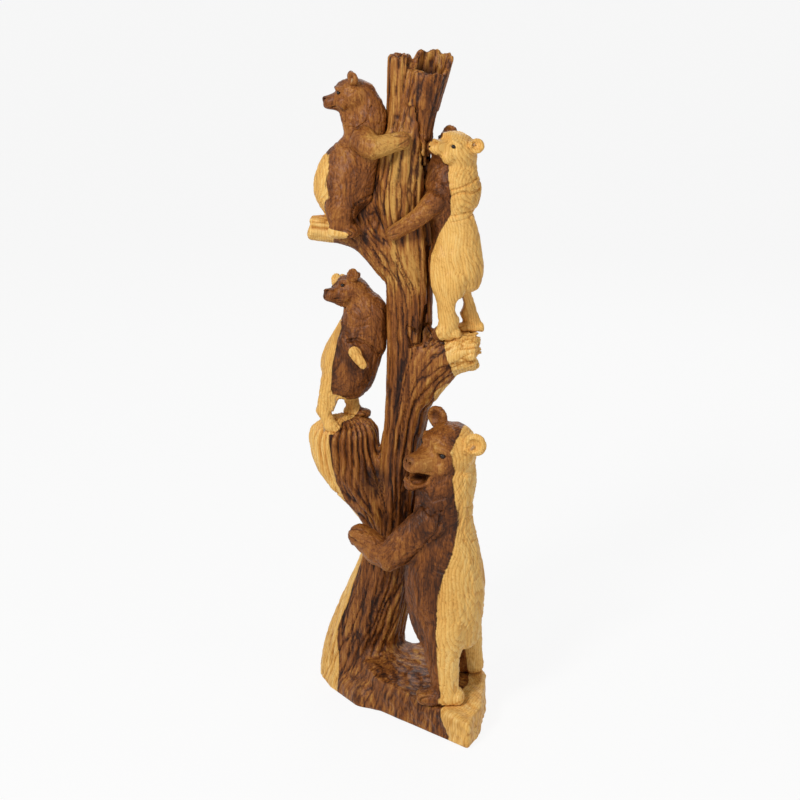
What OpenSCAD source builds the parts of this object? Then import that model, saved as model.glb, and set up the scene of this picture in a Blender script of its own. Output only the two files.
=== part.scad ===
// Carved wooden figure: a big bear and three cubs climbing a hollow tree.
// The blocks are sawn, coped to one another, pegged with hardwood dowels and glued.
// Millimetres, +Z up. The origin is on the underside of the ground block, below the trunk's front.

/* [Ground] */
// Height of the ground block midway between the big bear's feet
ground_h = 52; // [42:1:60]
// Rise of the ground towards the back, in degrees
ground_rise = 5.5; // [2:0.5:8]

/* [Trunk] */
// Height of the top limbs' joint above the seat branch
crown_rise = 136; // [120:1:155]
// Half width of the trunk at the floor
foot_r = 67; // [60:1:74]
// Half width of the trunk at its waist
waist_r = 29; // [26:1:34]
// Half width of the trunk below the top limbs
crown_r = 35; // [32:1:40]

/* [Top limbs] */
// Length of the hollow limb along its own lean
hollow_limb_l = 106; // [95:1:125]
// Radius of the hollow limb
hollow_limb_r = 27; // [25:1:31]
// Radius of the rotted hollow
hollow_r = 17; // [12:0.5:20]
// Depth of the rotted hollow below the rim's low side
hollow_depth = 45; // [25:1:60]
// Length of the solid limb beside it
solid_limb_l = 112; // [90:1:130]
// Radius of the solid limb
solid_limb_r = 18; // [15:0.5:22]

/* [Branches] */
// Height of a cub's feet on the low stub's domed top
stub_h = 440; // [425:1:455]
// Half width of the low stub at its top
stub_r = 50; // [45:1:54]
// Height of the forked branch's top, where another cub has its feet, above the first cub's feet
fork_rise = 152; // [140:1:166]
// Half thickness of the forked branch
fork_r = 27; // [24:1:30]
// Height of the seat branch's free end above the first cub's feet
seat_rise = 304; // [285:1:325]
// Half thickness of the seat branch at its free end
seat_r = 17; // [15:0.5:20]

/* [Big bear] */
// Height of the big bear's hips above its feet
mother_leg = 100; // [90:1:108]
// Length of the big bear's back, hips to the top of the neck
mother_back = 235; // [220:1:250]
// Half depth of the big bear's belly
mother_belly = 58; // [52:1:64]
// Half depth of the big bear's chest
mother_chest = 44; // [40:1:49]
// Half width of the big bear's neck
mother_neck = 40; // [36:1:44]
// Half width of the big bear's head
mother_head = 41; // [38:1:45]
// Length of the big bear's muzzle
mother_muzzle = 34; // [28:1:40]
// Radius of the big bear's upper arm
mother_arm = 26; // [23:1:29]
// Radius of the big bear's thigh
mother_thigh = 33; // [29:1:37]
// Length of the big bear's foot
mother_foot = 66; // [56:1:72]

/* [Cubs] */
// Half width of a cub's head
cub_head = 27; // [25:0.5:30]
// Length of a cub's muzzle
cub_muzzle = 16; // [13:0.5:19]
// Half depth of a cub's belly
cub_belly = 41; // [37:1:45]
// Half depth of a cub's chest
cub_chest = 31; // [28:1:34]
// Half width of a cub's neck
cub_neck = 26; // [23:0.5:29]
// Radius of a cub's upper arm
cub_arm = 15; // [13:0.5:17]
// Radius of a cub's thigh
cub_thigh = 21; // [18:0.5:24]
// Length of a cub's foot
cub_foot = 38; // [32:1:44]
// Back length of the cub on the seat branch
seat_cub_back = 142; // [132:1:150]
// Back length of the cub on the low stub
stub_cub_back = 135; // [125:1:145]
// Back length of the cub on the forked branch
fork_cub_back = 162; // [150:1:172]

/* [Joinery] */
// Radius of the dowels that join trunk, ground, limbs and branches
tree_dowel_r = 8; // [6:0.5:9]
// Length of those dowels
tree_dowel_l = 60; // [50:1:70]
// Radius of the big bear's dowels
mother_dowel_r = 6; // [4:0.5:7]
// Length of the big bear's dowels
mother_dowel_l = 40; // [32:1:46]
// Radius of the cubs' dowels
cub_dowel_r = 4; // [3:0.5:4.5]
// Length of the cubs' dowels
cub_dowel_l = 26; // [20:1:30]
// Radius of the ear dowels
ear_dowel_r = 2; // [1.5:0.25:2.5]
// Glue gap around every dowel and beyond its ends. An eye has twice that
glue_gap = 0.15; // [0.1:0.05:0.3]

/* [Hidden] */
$fn = 48;

// Heights above the floor: the branches and the crown keep their distances up the tree
fork_h = stub_h + fork_rise;
seat_h = stub_h + seat_rise;
trunk_h = seat_h + crown_rise;

// The bears, in the order of every list below
MOTHER = 0;
SEAT_CUB = 1;
STUB_CUB = 2;
FORK_CUB = 3;
BEARS = [MOTHER, SEAT_CUB, STUB_CUB, FORK_CUB];
BEAR_NAMES = ["mother", "seat_cub", "stub_cub", "fork_cub"];
BEAR_PIECES = ["torso", "head", "ears", "eyes", "left_arm", "right_arm", "left_leg", "right_leg"];
TREE_NODES = [
    "ground_block", "trunk", "hollow_limb", "solid_limb", "stub_branch", "fork_branch", "seat_branch"
];
DOWEL_NODES = ["tree_dowels", "mother_dowels", "cub_dowels", "ear_dowels"];
BEAR_NODES = [for (k = BEARS, p = BEAR_PIECES) str(BEAR_NAMES[k], "_", p)];
NODES = concat(TREE_NODES, BEAR_NODES, ["mother_jaw"], DOWEL_NODES);
node = "all";

// Vector and curve helpers
function unit(v) = v / norm(v);
function mix(a, b, t) = a + (b - a) * t;
function curve(a, b, c, d, t) =
    0.5 * (2 * b + (c - a) * t + (2 * a - 5 * b + 4 * c - d) * t * t + (3 * b - a - 3 * c + d) * t * t * t);
// A smooth run through stations, with a number of steps between each two
function smooth(s, steps) = [
    for (i = [0 : len(s) - 2], k = [0 : steps - 1])
        curve(s[max(i - 1, 0)], s[i], s[i + 1], s[min(i + 2, len(s) - 1)], k / steps),
    s[len(s) - 1]
];
function centre(s) = [s[0], s[1], s[2]];
function heading_of(run, i) =
    unit(centre(run[min(i + 1, len(run) - 1)]) - centre(run[max(i - 1, 0)]));

// A closed solid along stations [x, y, z, half width, half depth]; the width lies along side.
// Each end is domed by its own height, or flat where that is 0.
// Ribs run along it where a number of them is given: their height is a share of the half width.
DOME_STEPS = [28, 54, 78];
function dome(station, ahead, height, out) = height == 0 ? [] : [
    for (a = out ? DOME_STEPS : [DOME_STEPS[2], DOME_STEPS[1], DOME_STEPS[0]])
        concat(centre(station) + ahead * height * sin(a) * (out ? 1 : -1), [station[3], station[4]] * cos(a))
];
function ring(station, ahead, side, n, ribs, rib_share) =
    let (across = unit(side - ahead * (side * ahead)), up = cross(ahead, across))
    [for (i = [0 : n - 1])
        let (angle = 360 * i / n, swell = 1 + rib_share * cos(ribs * angle))
        centre(station) + (across * station[3] * cos(angle) + up * station[4] * sin(angle)) * swell];
module loft(stations, side, domes, sides = 14, steps = 3, ribs = 0, rib_share = 0) {
    run = smooth(stations, steps);
    last = len(run) - 1;
    start = dome(run[0], heading_of(run, 0), domes[0], false);
    finish = dome(run[last], heading_of(run, last), domes[1], true);
    rows = concat(start, run, finish);
    aheads = concat(
        [for (s = start) heading_of(run, 0)],
        [for (i = [0 : last]) heading_of(run, i)],
        [for (s = finish) heading_of(run, last)]);
    points = [for (j = [0 : len(rows) - 1]) each ring(rows[j], aheads[j], side, sides, ribs, rib_share)];
    top = (len(rows) - 1) * sides;
    walls = [for (j = [0 : len(rows) - 2], i = [0 : sides - 1])
        let (a = j * sides + i, b = j * sides + (i + 1) % sides)
        each [[a, b + sides, b], [a, a + sides, b + sides]]];
    floor_fan = [for (i = [1 : sides - 2]) [0, i, i + 1]];
    roof_fan = [for (i = [1 : sides - 2]) [top, top + i + 1, top + i]];
    polyhedron(points = points, faces = concat(walls, floor_fan, roof_fan));
}
// A rod from a point along a direction
module rod(from, along, length, r) {
    tilt = acos(unit(along)[2]);
    turn = atan2(along[1], along[0]);
    translate(from) rotate([0, tilt, turn]) cylinder(r = r, h = length);
}
// A dowel that lies half each side of a joint, as [middle, direction, length, radius]
module peg(d, gap = 0) {
    reach = d[2] / 2 + gap;
    rod(d[0] - unit(d[1]) * reach, d[1], 2 * reach, d[3] + gap);
}

// Trunk
X_AXIS = [1, 0, 0];
Y_AXIS = [0, 1, 0];
Z_AXIS = [0, 0, 1];
// The trunk's line: share of its height, x, y, share of the way from foot to waist, then from waist to crown.
// It runs on past the floor and the limb joint, where the trunk is sawn level.
TRUNK_LINE = [
    [-0.03, -65, 148, -0.04, 0], [0, -63, 140, 0, 0], [0.04, -60, 130, 0.07, 0],
    [0.1, -51, 109, 0.24, 0], [0.18, -34, 84, 0.48, 0],
    [0.25, -21, 68, 0.72, 0], [0.33, -12, 56, 0.88, 0], [0.41, -3, 46, 1, 0], [0.48, 4, 42, 1, 0.1],
    [0.55, 12, 40, 1, 0.6], [0.65, 13, 38, 1, 0.5], [0.73, 13, 36, 1, 0.6], [0.81, 9, 34, 1, 1.05],
    [0.89, 0, 32, 1, 1.35], [0.95, 5, 31, 1, 1.15], [1, 12, 30, 1, 1],
    [1.03, 16, 30, 1, 0.95]
];
TRUNK_DEPTH_SHARE = 0.93;
function trunk_r(row) = mix(mix(foot_r, waist_r, row[3]), crown_r, row[4]);
trunk_stations = [for (t = TRUNK_LINE)
    [t[1], t[2], t[0] * trunk_h, trunk_r(t), trunk_r(t) * TRUNK_DEPTH_SHARE]];
// The trunk's centre at a height
function trunk_at(z) = [lookup(z / trunk_h, [for (t = TRUNK_LINE) [t[0], t[1]]]),
    lookup(z / trunk_h, [for (t = TRUNK_LINE) [t[0], t[2]]]), z];
function trunk_r_at(z) = lookup(z / trunk_h, [for (t = TRUNK_LINE) [t[0], trunk_r(t)]]);
SAW_REACH = 400;
TRUNK_RIBS = 7;
TRUNK_RIB_SHARE = 0.045;
module trunk_form() {
    intersection() {
        loft(trunk_stations, X_AXIS, [0, 0], 4 * TRUNK_RIBS, 2, TRUNK_RIBS, TRUNK_RIB_SHARE);
        translate([-SAW_REACH, -SAW_REACH, 0]) cube([2 * SAW_REACH, 2 * SAW_REACH, trunk_h]);
    }
}

// Ground
GROUND_OUTLINE = [[-56, 40], [-38, -4], [100, -136], [121, -80], [132, 10], [116, 82], [60, 104], [-30, 112]];
MOTHER_AT = [95, -25];
function ground_z(y) = ground_h + (y - MOTHER_AT[1]) * tan(ground_rise);
module ground_form() {
    difference() {
        linear_extrude(SAW_REACH) polygon(GROUND_OUTLINE);
        translate([-SAW_REACH, MOTHER_AT[1], ground_h]) rotate([ground_rise, 0, 0])
            translate([0, -SAW_REACH, 0]) cube(2 * SAW_REACH);
    }
}

// Limbs at the top of the trunk
crown = trunk_at(trunk_h);
HOLLOW_LEAN = [0.27, -0.02, 1];
HOLLOW_AT = [6, -1, 0];
SOLID_LEAN = [0.03, 0.02, 1];
SOLID_AT = [-15, 2, 0];
RIM_TILT = 33;
RIM_TURN = -22;
hollow_axis = unit(HOLLOW_LEAN);
hollow_root = crown + HOLLOW_AT;
rim = hollow_root + hollow_axis * hollow_limb_l;
solid_axis = unit(SOLID_LEAN);
solid_root = crown + SOLID_AT;
LIMB_WAIST = 0.94;
SOLID_TIP_SHARE = 0.95;
// Each limb runs on a little below the joint, where the level saw cut takes it off.
// The hollow limb also runs on above the middle of its rim, where the tilted cut takes it off.
RIM_SPARE = 0.3;
function limb_run(root, axis, length, r, spare, tip_share) =
    let (upper_share = mix(LIMB_WAIST, tip_share, 0.4))
    [for (s = [[-0.1, 1.06], [0.4, LIMB_WAIST], [0.75, upper_share], [1 + spare, tip_share]])
        concat(root + axis * length * s[0], [r, r] * s[1])];
RIM_CUT = 60;
module hollow_limb_form() {
    run = limb_run(hollow_root, hollow_axis, hollow_limb_l, hollow_limb_r, RIM_SPARE, 1);
    difference() {
        loft(run, X_AXIS, [0, 0], sides = 18);
        translate(rim) rotate([RIM_TILT, 0, RIM_TURN]) translate([-RIM_CUT, -RIM_CUT, 0])
            cube([2 * RIM_CUT, 2 * RIM_CUT, RIM_CUT]);
    }
}
SOLID_TIP = 7;
module solid_limb_form() {
    run = limb_run(solid_root, solid_axis, solid_limb_l - SOLID_TIP, solid_limb_r, 0, SOLID_TIP_SHARE);
    loft(run, X_AXIS, [0, SOLID_TIP], sides = 14);
}

// Branches: each starts inside the trunk at its own height
STUB_ROOT_DROP = 165;
FORK_ROOT_DROP = 120;
SEAT_ROOT_DROP = 80;
stub_root = trunk_at(stub_h - STUB_ROOT_DROP);
fork_root = trunk_at(fork_h - FORK_ROOT_DROP);
seat_root = trunk_at(seat_h - SEAT_ROOT_DROP);
STUB_CROWN = 14;
STUB_DOME = 26;
STUB_DEPTH_SHARE = 0.9;
stub_top = [stub_root[0] - 72, stub_root[1] + 8, stub_h - STUB_CROWN];
function stub_station(at, share) = concat(at, [stub_r * STUB_DEPTH_SHARE * share, stub_r * share]);
stub_stations = [
    stub_station(stub_root, 0.62),
    stub_station(mix(stub_root, stub_top, 0.4), 0.84),
    stub_station(stub_top + [8, 0, -42], 0.97),
    stub_station(stub_top, 1)
];
STUB_RIBS = 9;
STUB_RIB_SHARE = 0.05;
module stub_form() loft(stub_stations, Y_AXIS, [0, STUB_DOME], 2 * STUB_RIBS, 3, STUB_RIBS, STUB_RIB_SHARE);

fork_end = [fork_root[0] + 108, fork_root[1] - 24, fork_h - fork_r];
fork_bend = [fork_root[0] + 52, fork_root[1] - 10, fork_h - fork_r * 1.32];
fork_stations = [
    concat(fork_root, [fork_r, fork_r]),
    concat(fork_bend, [fork_r * 1.5, fork_r * 1.38]),
    concat(fork_end, [fork_r * 1.4, fork_r * 1.02])
];
module fork_form() {
    difference() {
        loft(fork_stations, Y_AXIS, [0, 0], sides = 16);
        translate([fork_root[0], fork_end[1] - SAW_REACH, fork_h]) cube(2 * SAW_REACH);
    }
}

seat_end = [seat_root[0] - 143, seat_root[1] + 4, seat_h];
seat_stations = [
    concat(seat_root, [seat_r, seat_r] * 1.4),
    concat(mix(seat_root, seat_end, 0.24) + [2, 0, 21], [seat_r, seat_r] * 1.6),
    concat(mix(seat_root, seat_end, 0.42) + [1, 0, 32], [seat_r, seat_r] * 1.5),
    concat(mix(seat_root, seat_end, 0.67) + [0, 0, 24], [seat_r, seat_r] * 1.25),
    concat(seat_end, [seat_r * 1.1, seat_r])
];
module seat_form() loft(seat_stations, Y_AXIS, [0, 4], sides = 14);

// Bear sizes, one entry for each bear
leg_h = [mother_leg, 30, 57, 70];
back_l = [mother_back, seat_cub_back, stub_cub_back, fork_cub_back];
belly_r = [mother_belly, cub_belly, cub_belly, cub_belly];
chest_r = [mother_chest, cub_chest, cub_chest, cub_chest];
neck_r = [mother_neck, cub_neck, cub_neck, cub_neck];
FORK_CUB_HEAD_SHARE = 1.1;
head_r = [mother_head, cub_head, cub_head, cub_head * FORK_CUB_HEAD_SHARE];
muzzle_l = [mother_muzzle, cub_muzzle, cub_muzzle, cub_muzzle];
SEAT_CUB_ARM_SHARE = 1.22;
arm_r = [mother_arm, cub_arm * SEAT_CUB_ARM_SHARE, cub_arm, cub_arm];
thigh_r = [mother_thigh, cub_thigh, cub_thigh, cub_thigh];
foot_l = [mother_foot, cub_foot, cub_foot, cub_foot];

// Where each bear stands, and the way its body faces
stand = [
    concat(MOTHER_AT, [ground_h]),
    [seat_end[0] + 50, seat_end[1] - 5, seat_h + 1],
    [stub_top[0] - 6, stub_top[1] - 8, stub_h],
    [fork_end[0] - 23, fork_end[1] + 2, fork_h]
];
facing = [180, -10, -15, 180];

// Poses in each bear's own frame: [forward, left, up] from the point between its heels
HEAD_SHIFT = [[2, 0, 31.5], [-23, 0, 8], [-24, -2, 9], [3, 0, 22]];
HEAD_TURN = [37, 194, 224, 44];
HEAD_PITCH = [0, -6, 6, 26];
HEAD_ROLL = [-15, 0, 15, -20];
LEFT_ELBOW = [[113, 13, 214], [45, 42, 112], [51, 40, 140], [70, 31, 174]];
LEFT_PAW = [[157, -30, 233], [80, 52, 128], [90, 26, 146], [107, 22, 149]];
RIGHT_ELBOW = [[47, -100, 215], [50, -39, 119], [20, -42, 126], [50, -40, 196]];
RIGHT_PAW = [[80, -132, 240], [93, -28, 130], [46, -44, 99], [84, -56, 170]];
MOTHER_STANCE = 50;
function mother_heel_z(left) = (left ? -1 : 1) * MOTHER_STANCE * tan(ground_rise);
LEFT_HEEL = [[2, MOTHER_STANCE, mother_heel_z(true)], [-10, 30, -8], [2, 26, 8], [9, 17, -3]];
RIGHT_HEEL = [[-28, -MOTHER_STANCE, mother_heel_z(false)], [-14, -33, -8], [-28, -22, -6], [-26, -17, -2]];
// How stout each bear's shins are, and how far its knees bend forward, in thigh radii
SHIN_SHARE = [1, 1.35, 0.72, 0.86];
KNEE_BEND = [0.16, 0.1, -0.3, 0.2];

module stood(k) translate(stand[k]) rotate([0, 0, facing[k]]) children();

// Torso rows: share of the back above the hips, forward and half depth as shares of a girth, and which girth
BELLY = 0;
CHEST = 1;
NECK = 2;
MOTHER_ROWS = [
    [-0.1, 0.33, 0.78, BELLY], [0.07, 0.44, 0.96, BELLY], [0.28, 0.49, 1.04, BELLY],
    [0.52, 0.52, 0.93, BELLY], [0.72, 0.54, 1, CHEST], [0.88, 0.5, 1.08, NECK], [1.03, 0.42, 0.98, NECK]
];
SEAT_CUB_ROWS = [
    [-0.06, -0.04, 0.68, BELLY], [0.11, 0, 1.08, BELLY], [0.32, 0.16, 1.1, BELLY], [0.49, 0.45, 0.9, BELLY],
    [0.67, 0.76, 0.92, CHEST], [0.82, 0.83, 1.07, NECK], [0.95, 0.86, 0.98, NECK], [1.06, 0.88, 0.7, NECK]
];
STUB_CUB_ROWS = [
    [0, 0.12, 0.72, BELLY], [0.15, 0.32, 1, BELLY], [0.33, 0.46, 1.07, BELLY], [0.54, 0.74, 0.98, BELLY],
    [0.78, 0.99, 1.07, CHEST], [0.92, 1.02, 1.2, NECK], [1.05, 1.04, 0.8, NECK]
];
FORK_CUB_ROWS = [
    [0, 0.3, 0.84, BELLY], [0.12, 0.34, 0.95, BELLY], [0.28, 0.35, 0.93, BELLY], [0.5, 0.4, 0.8, BELLY],
    [0.67, 0.58, 1.02, CHEST], [0.82, 0.48, 1.2, CHEST], [0.96, 0.5, 1.36, NECK], [1.06, 0.42, 1.08, NECK]
];
TORSO_ROWS = [MOTHER_ROWS, SEAT_CUB_ROWS, STUB_CUB_ROWS, FORK_CUB_ROWS];
TORSO_WIDTH_SHARE = [0.96, 0.8, 0.9, 0.84];
function girth(k, which) = which == BELLY ? belly_r[k] : which == CHEST ? chest_r[k] : neck_r[k];
function spine_at(k, row) = [row[1] * belly_r[k], 0, leg_h[k] + row[0] * back_l[k]];
function torso_stations(k) = [for (row = TORSO_ROWS[k]) let (d = row[2] * girth(k, row[3]))
    concat(spine_at(k, row), [d * TORSO_WIDTH_SHARE[k], d])];
function neck_top(k) = let (rows = TORSO_ROWS[k]) spine_at(k, rows[len(rows) - 1]);
CHEST_ROW = 4;
HIP_ROW = 1;
SHOULDER_SHIFT = [[14, 0, 8], [0, 0, 4], [-26, 0, -12], [20, 0, 20]];
function shoulder(k, left) =
    spine_at(k, TORSO_ROWS[k][CHEST_ROW]) + SHOULDER_SHIFT[k] + [0, (left ? 1 : -1) * chest_r[k] * 0.64, 0];
function hip(k, left) = spine_at(k, TORSO_ROWS[k][HIP_ROW]) + [0, (left ? 1 : -1) * belly_r[k] * 0.5, 0];
module torso_form(k) loft(torso_stations(k), Y_AXIS, [belly_r[k] * 0.3, neck_r[k] * 0.25], sides = 16);

// Head, in its own frame: forward along X, left along Y
function head_at(k) = neck_top(k) + HEAD_SHIFT[k];
module headed(k) translate(head_at(k)) rotate([HEAD_ROLL[k], -HEAD_PITCH[k], HEAD_TURN[k]]) children();
SKULL_ROWS = [
    [-0.8, -0.06, 0.64, 0.7], [-0.42, 0.03, 0.95, 0.97], [0.05, 0.05, 0.98, 0.96], [0.45, -0.03, 0.82, 0.79],
    [0.8, -0.18, 0.52, 0.5]
];
// A skull with a lower crown, for the two cubs that look away from the tree
LOW_SKULL_ROWS = [
    [-0.8, -0.16, 0.62, 0.6], [-0.42, -0.07, 0.92, 0.85], [0.05, -0.01, 0.96, 0.9], [0.45, -0.05, 0.82, 0.79],
    [0.8, -0.18, 0.52, 0.5]
];
function skull_rows(k) = k == SEAT_CUB || k == STUB_CUB ? LOW_SKULL_ROWS : SKULL_ROWS;
MUZZLE_ROWS = [[0.45, -0.24, 0.46, 0.4], [0.82, -0.23, 0.42, 0.36], [1, -0.2, 0.35, 0.31]];
MUZZLE_ROOT = 0.82;
// A row in head radii becomes a station, with a length added ahead for the muzzle
function head_station(k, row, ahead) =
    concat([row[0] * head_r[k] + ahead, 0], [row[1], row[2], row[3]] * head_r[k]);
function muzzle_station(k, row) =
    head_station(k, [MUZZLE_ROOT, row[1], row[2], row[3]], row[0] * muzzle_l[k]);
function head_stations(k) = concat(
    [for (row = skull_rows(k)) head_station(k, row, 0)],
    [for (row = MUZZLE_ROWS) muzzle_station(k, row)]);
module head_form(k) loft(head_stations(k), Y_AXIS, [0.2 * head_r[k], 0.1 * head_r[k]], sides = 14, steps = 2);
JAW_ROWS = [
    [0.36, -0.5, 0.44, 0.3], [0.62, -0.84, 0.42, 0.28], [1.1, -1.07, 0.34, 0.2], [1.5, -1.12, 0.26, 0.17]
];
JAW_ROUND = 4;
module jaw_form(k) {
    stations = [for (row = JAW_ROWS) head_station(k, row, 0)];
    loft(stations, Y_AXIS, [JAW_ROUND, JAW_ROUND], sides = 12);
}

// Ears, eyes
MOTHER_EAR_AT = [-0.2, 1.02, 0.6];
CUB_EAR_AT = [-0.06, 0.84, 0.78];
function ear_at(k) = k == MOTHER ? MOTHER_EAR_AT : CUB_EAR_AT;
EAR_R = 0.37;
EAR_SPLAY = 28;
EAR_ROWS = [[-0.9, 0.7, 0.4], [-0.2, 0.98, 0.42], [0.5, 0.86, 0.36]];
EYE_AT = [0.69, 0.56, 0.24];
EYE_R = 0.1;
function sided(p, left) = [p[0], left ? p[1] : -p[1], p[2]];
module each_side() for (left = [true, false]) let ($left = left) children();
function ear_r(k) = EAR_R * head_r[k];
module eared(k) {
    splay = $left ? EAR_SPLAY : -EAR_SPLAY;
    translate(sided(ear_at(k), $left) * head_r[k]) rotate([-splay, 0, splay]) children();
}
module ear_form(k) {
    r = ear_r(k);
    eared(k) difference() {
        loft([for (s = EAR_ROWS) concat([0, 0], s * r)], Y_AXIS, [0, 0.5 * r], sides = 12, steps = 2);
        translate([0.95 * r, 0, 0.12 * r]) sphere(0.68 * r);
    }
}
module eye_form(k, gap = 0) translate(sided(EYE_AT, $left) * head_r[k]) sphere(EYE_R * head_r[k] + gap);

// Arms and legs
function elbow(k, left) = (left ? LEFT_ELBOW : RIGHT_ELBOW)[k];
function paw(k, left) = (left ? LEFT_PAW : RIGHT_PAW)[k];
function arm_stations(k, left) =
    let (s = shoulder(k, left), e = elbow(k, left), p = paw(k, left), r = arm_r[k])
    [
        concat(s, [r, r * 1.1]),
        concat(mix(s, e, 0.5), [r, r]),
        concat(e, [r * 0.94, r * 0.9]),
        concat(mix(e, p, 0.6), [r * 0.78, r * 0.78]),
        concat(p, [r * 0.76, r * 0.7])
    ];
module arm_form(k, left)
    loft(arm_stations(k, left), Y_AXIS, [arm_r[k] * 0.6, arm_r[k] * 0.5], sides = 12, steps = 2);
function heel(k, left) = (left ? LEFT_HEEL : RIGHT_HEEL)[k];
ANKLE_SHARE = 0.38;
function ankle(k, left) = heel(k, left) + [ANKLE_SHARE * foot_l[k], 0, 0.34 * foot_l[k]];
function leg_stations(k, left) =
    let (
        h = hip(k, left),
        a = ankle(k, left),
        r = thigh_r[k],
        shin = r * SHIN_SHARE[k],
        ankle_r = (r + shin) / 2)
    [
        concat(h, [r * 0.9, r]),
        concat(mix(h, a, 0.45) + [r * KNEE_BEND[k], 0, 0], [shin * 0.76, shin * 0.84]),
        concat(a, [ankle_r * 0.54, ankle_r * 0.58]),
        concat(a - [0, 0, 0.26 * foot_l[k]], [ankle_r * 0.52, ankle_r * 0.56])
    ];
function foot_stations(k, left) = let (h = heel(k, left), f = foot_l[k], r = thigh_r[k])
    [for (s = [[0.08, 0.5, 0.4], [0.4, 0.56, 0.42], [0.72, 0.6, 0.38], [0.95, 0.5, 0.3]])
        concat(h + [f * s[0], 0, 0.16 * f], [r * s[1], r * s[2]])];
module leg_form(k, left) {
    loft(leg_stations(k, left), Y_AXIS, [thigh_r[k] * 0.5, 0], sides = 12, steps = 2);
    loft(foot_stations(k, left), Y_AXIS, [thigh_r[k] * 0.25, thigh_r[k] * 0.2], sides = 12, steps = 2);
}

// Dowels, each as [middle, direction, length, radius]
function body_dowel_r(k) = k == MOTHER ? mother_dowel_r : cub_dowel_r;
function body_dowel_l(k) = k == MOTHER ? mother_dowel_l : cub_dowel_l;
function dowel(k, at, along) = [at, along, body_dowel_l(k), body_dowel_r(k)];
function neck_dowel(k) = dowel(k, neck_top(k) + 0.45 * HEAD_SHIFT[k], HEAD_SHIFT[k]);
// From the chest out to just past the middle of the upper arm
function shoulder_dowel(k, left) =
    let (
        upper_arm = mix(shoulder(k, left), elbow(k, left), 0.5),
        out = unit(upper_arm - spine_at(k, TORSO_ROWS[k][CHEST_ROW])))
    dowel(k, upper_arm + out * (0.3 * arm_r[k] - body_dowel_l(k) / 2), out);
function hip_dowel(k, left) = let (h = hip(k, left), a = ankle(k, left)) dowel(k, mix(h, a, 0.52), a - h);
function foot_dowel(k, left) = dowel(k, heel(k, left) + [ANKLE_SHARE * foot_l[k], 0, 0], Z_AXIS);
function rump_dowel(k) = dowel(k, [0, 0, leg_h[k] * 0.5], Z_AXIS);
function limb_dowels(k) =
    [for (left = [true, false]) each [shoulder_dowel(k, left), hip_dowel(k, left)]];
function seat_dowels(k) =
    k == SEAT_CUB ? [rump_dowel(k)] : [for (left = [true, false]) foot_dowel(k, left)];
function bear_dowels(k) = concat([neck_dowel(k)], limb_dowels(k), seat_dowels(k));
function ear_dowel(k) = [[-0.12, 0, -0.55] * ear_r(k), Z_AXIS, 1.7 * ear_r(k), ear_dowel_r];
module bear_bores(k) {
    stood(k) for (d = bear_dowels(k)) peg(d, glue_gap);
}
module ear_bores(k) stood(k) headed(k) each_side() eared(k) peg(ear_dowel(k), glue_gap);
// Points on the side of the trunk's foot, by the angle round it, for the dowels into the ground block
function foot_out(angle) = [cos(angle), sin(angle), 0];
function foot_face(angle, z) = trunk_at(z) + trunk_r_at(z) * foot_out(angle);
tree_dowel_list = [for (d = [
        [crown + HOLLOW_AT + [4, 0, 0], hollow_axis], [solid_root + [-2, 0, 0], solid_axis],
        [mix(stub_root, stub_top, 0.34), stub_top - stub_root],
        [mix(fork_root, fork_end, 0.34), fork_end - fork_root],
        [mix(seat_root, seat_end, 0.26) + [2, 0, 20], seat_end - seat_root],
        [foot_face(-30, 0.62 * ground_h), foot_out(-30)], [foot_face(-62, 0.4 * ground_h), foot_out(-62)]])
    [d[0], d[1], tree_dowel_l, tree_dowel_r]];
module tree_bores() for (d = tree_dowel_list) peg(d, glue_gap);

// Colours of the two woods and of the small parts
HEARTWOOD = "sienna";
SAPWOOD = "burlywood";
DOWEL_WOOD = "wheat";
GLASS = "black";

// The tree's pieces
module tree_seats(k) {
    trunk_form();
    if (k == MOTHER) ground_form();
    if (k == MOTHER || k == STUB_CUB) stub_form();
    if (k == MOTHER || k == FORK_CUB) fork_form();
    if (k == SEAT_CUB) seat_form();
    if (k == SEAT_CUB || k == FORK_CUB) hollow_limb_form();
    if (k == SEAT_CUB) solid_limb_form();
}
module trunk() color(HEARTWOOD) difference() {
    trunk_form();
    tree_bores();
}
module ground_block() color(HEARTWOOD) difference() {
    ground_form();
    trunk_form();
    tree_bores();
    bear_bores(MOTHER);
}
hollow_reach = hollow_depth + hollow_limb_r * tan(RIM_TILT);
module hollow_limb() color(HEARTWOOD) difference() {
    hollow_limb_form();
    rod(rim - hollow_axis * hollow_reach, hollow_axis, 2 * hollow_reach, hollow_r);
    trunk_form();
    tree_bores();
}
module solid_limb() color(HEARTWOOD) difference() {
    solid_limb_form();
    hollow_limb_form();
    trunk_form();
    tree_bores();
}
module stub_branch() color(HEARTWOOD) difference() {
    stub_form();
    trunk_form();
    tree_bores();
    bear_bores(STUB_CUB);
}
module fork_branch() color(SAPWOOD) difference() {
    fork_form();
    trunk_form();
    tree_bores();
    bear_bores(FORK_CUB);
}
module seat_branch() color(HEARTWOOD) difference() {
    seat_form();
    trunk_form();
    tree_bores();
    bear_bores(SEAT_CUB);
}

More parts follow.
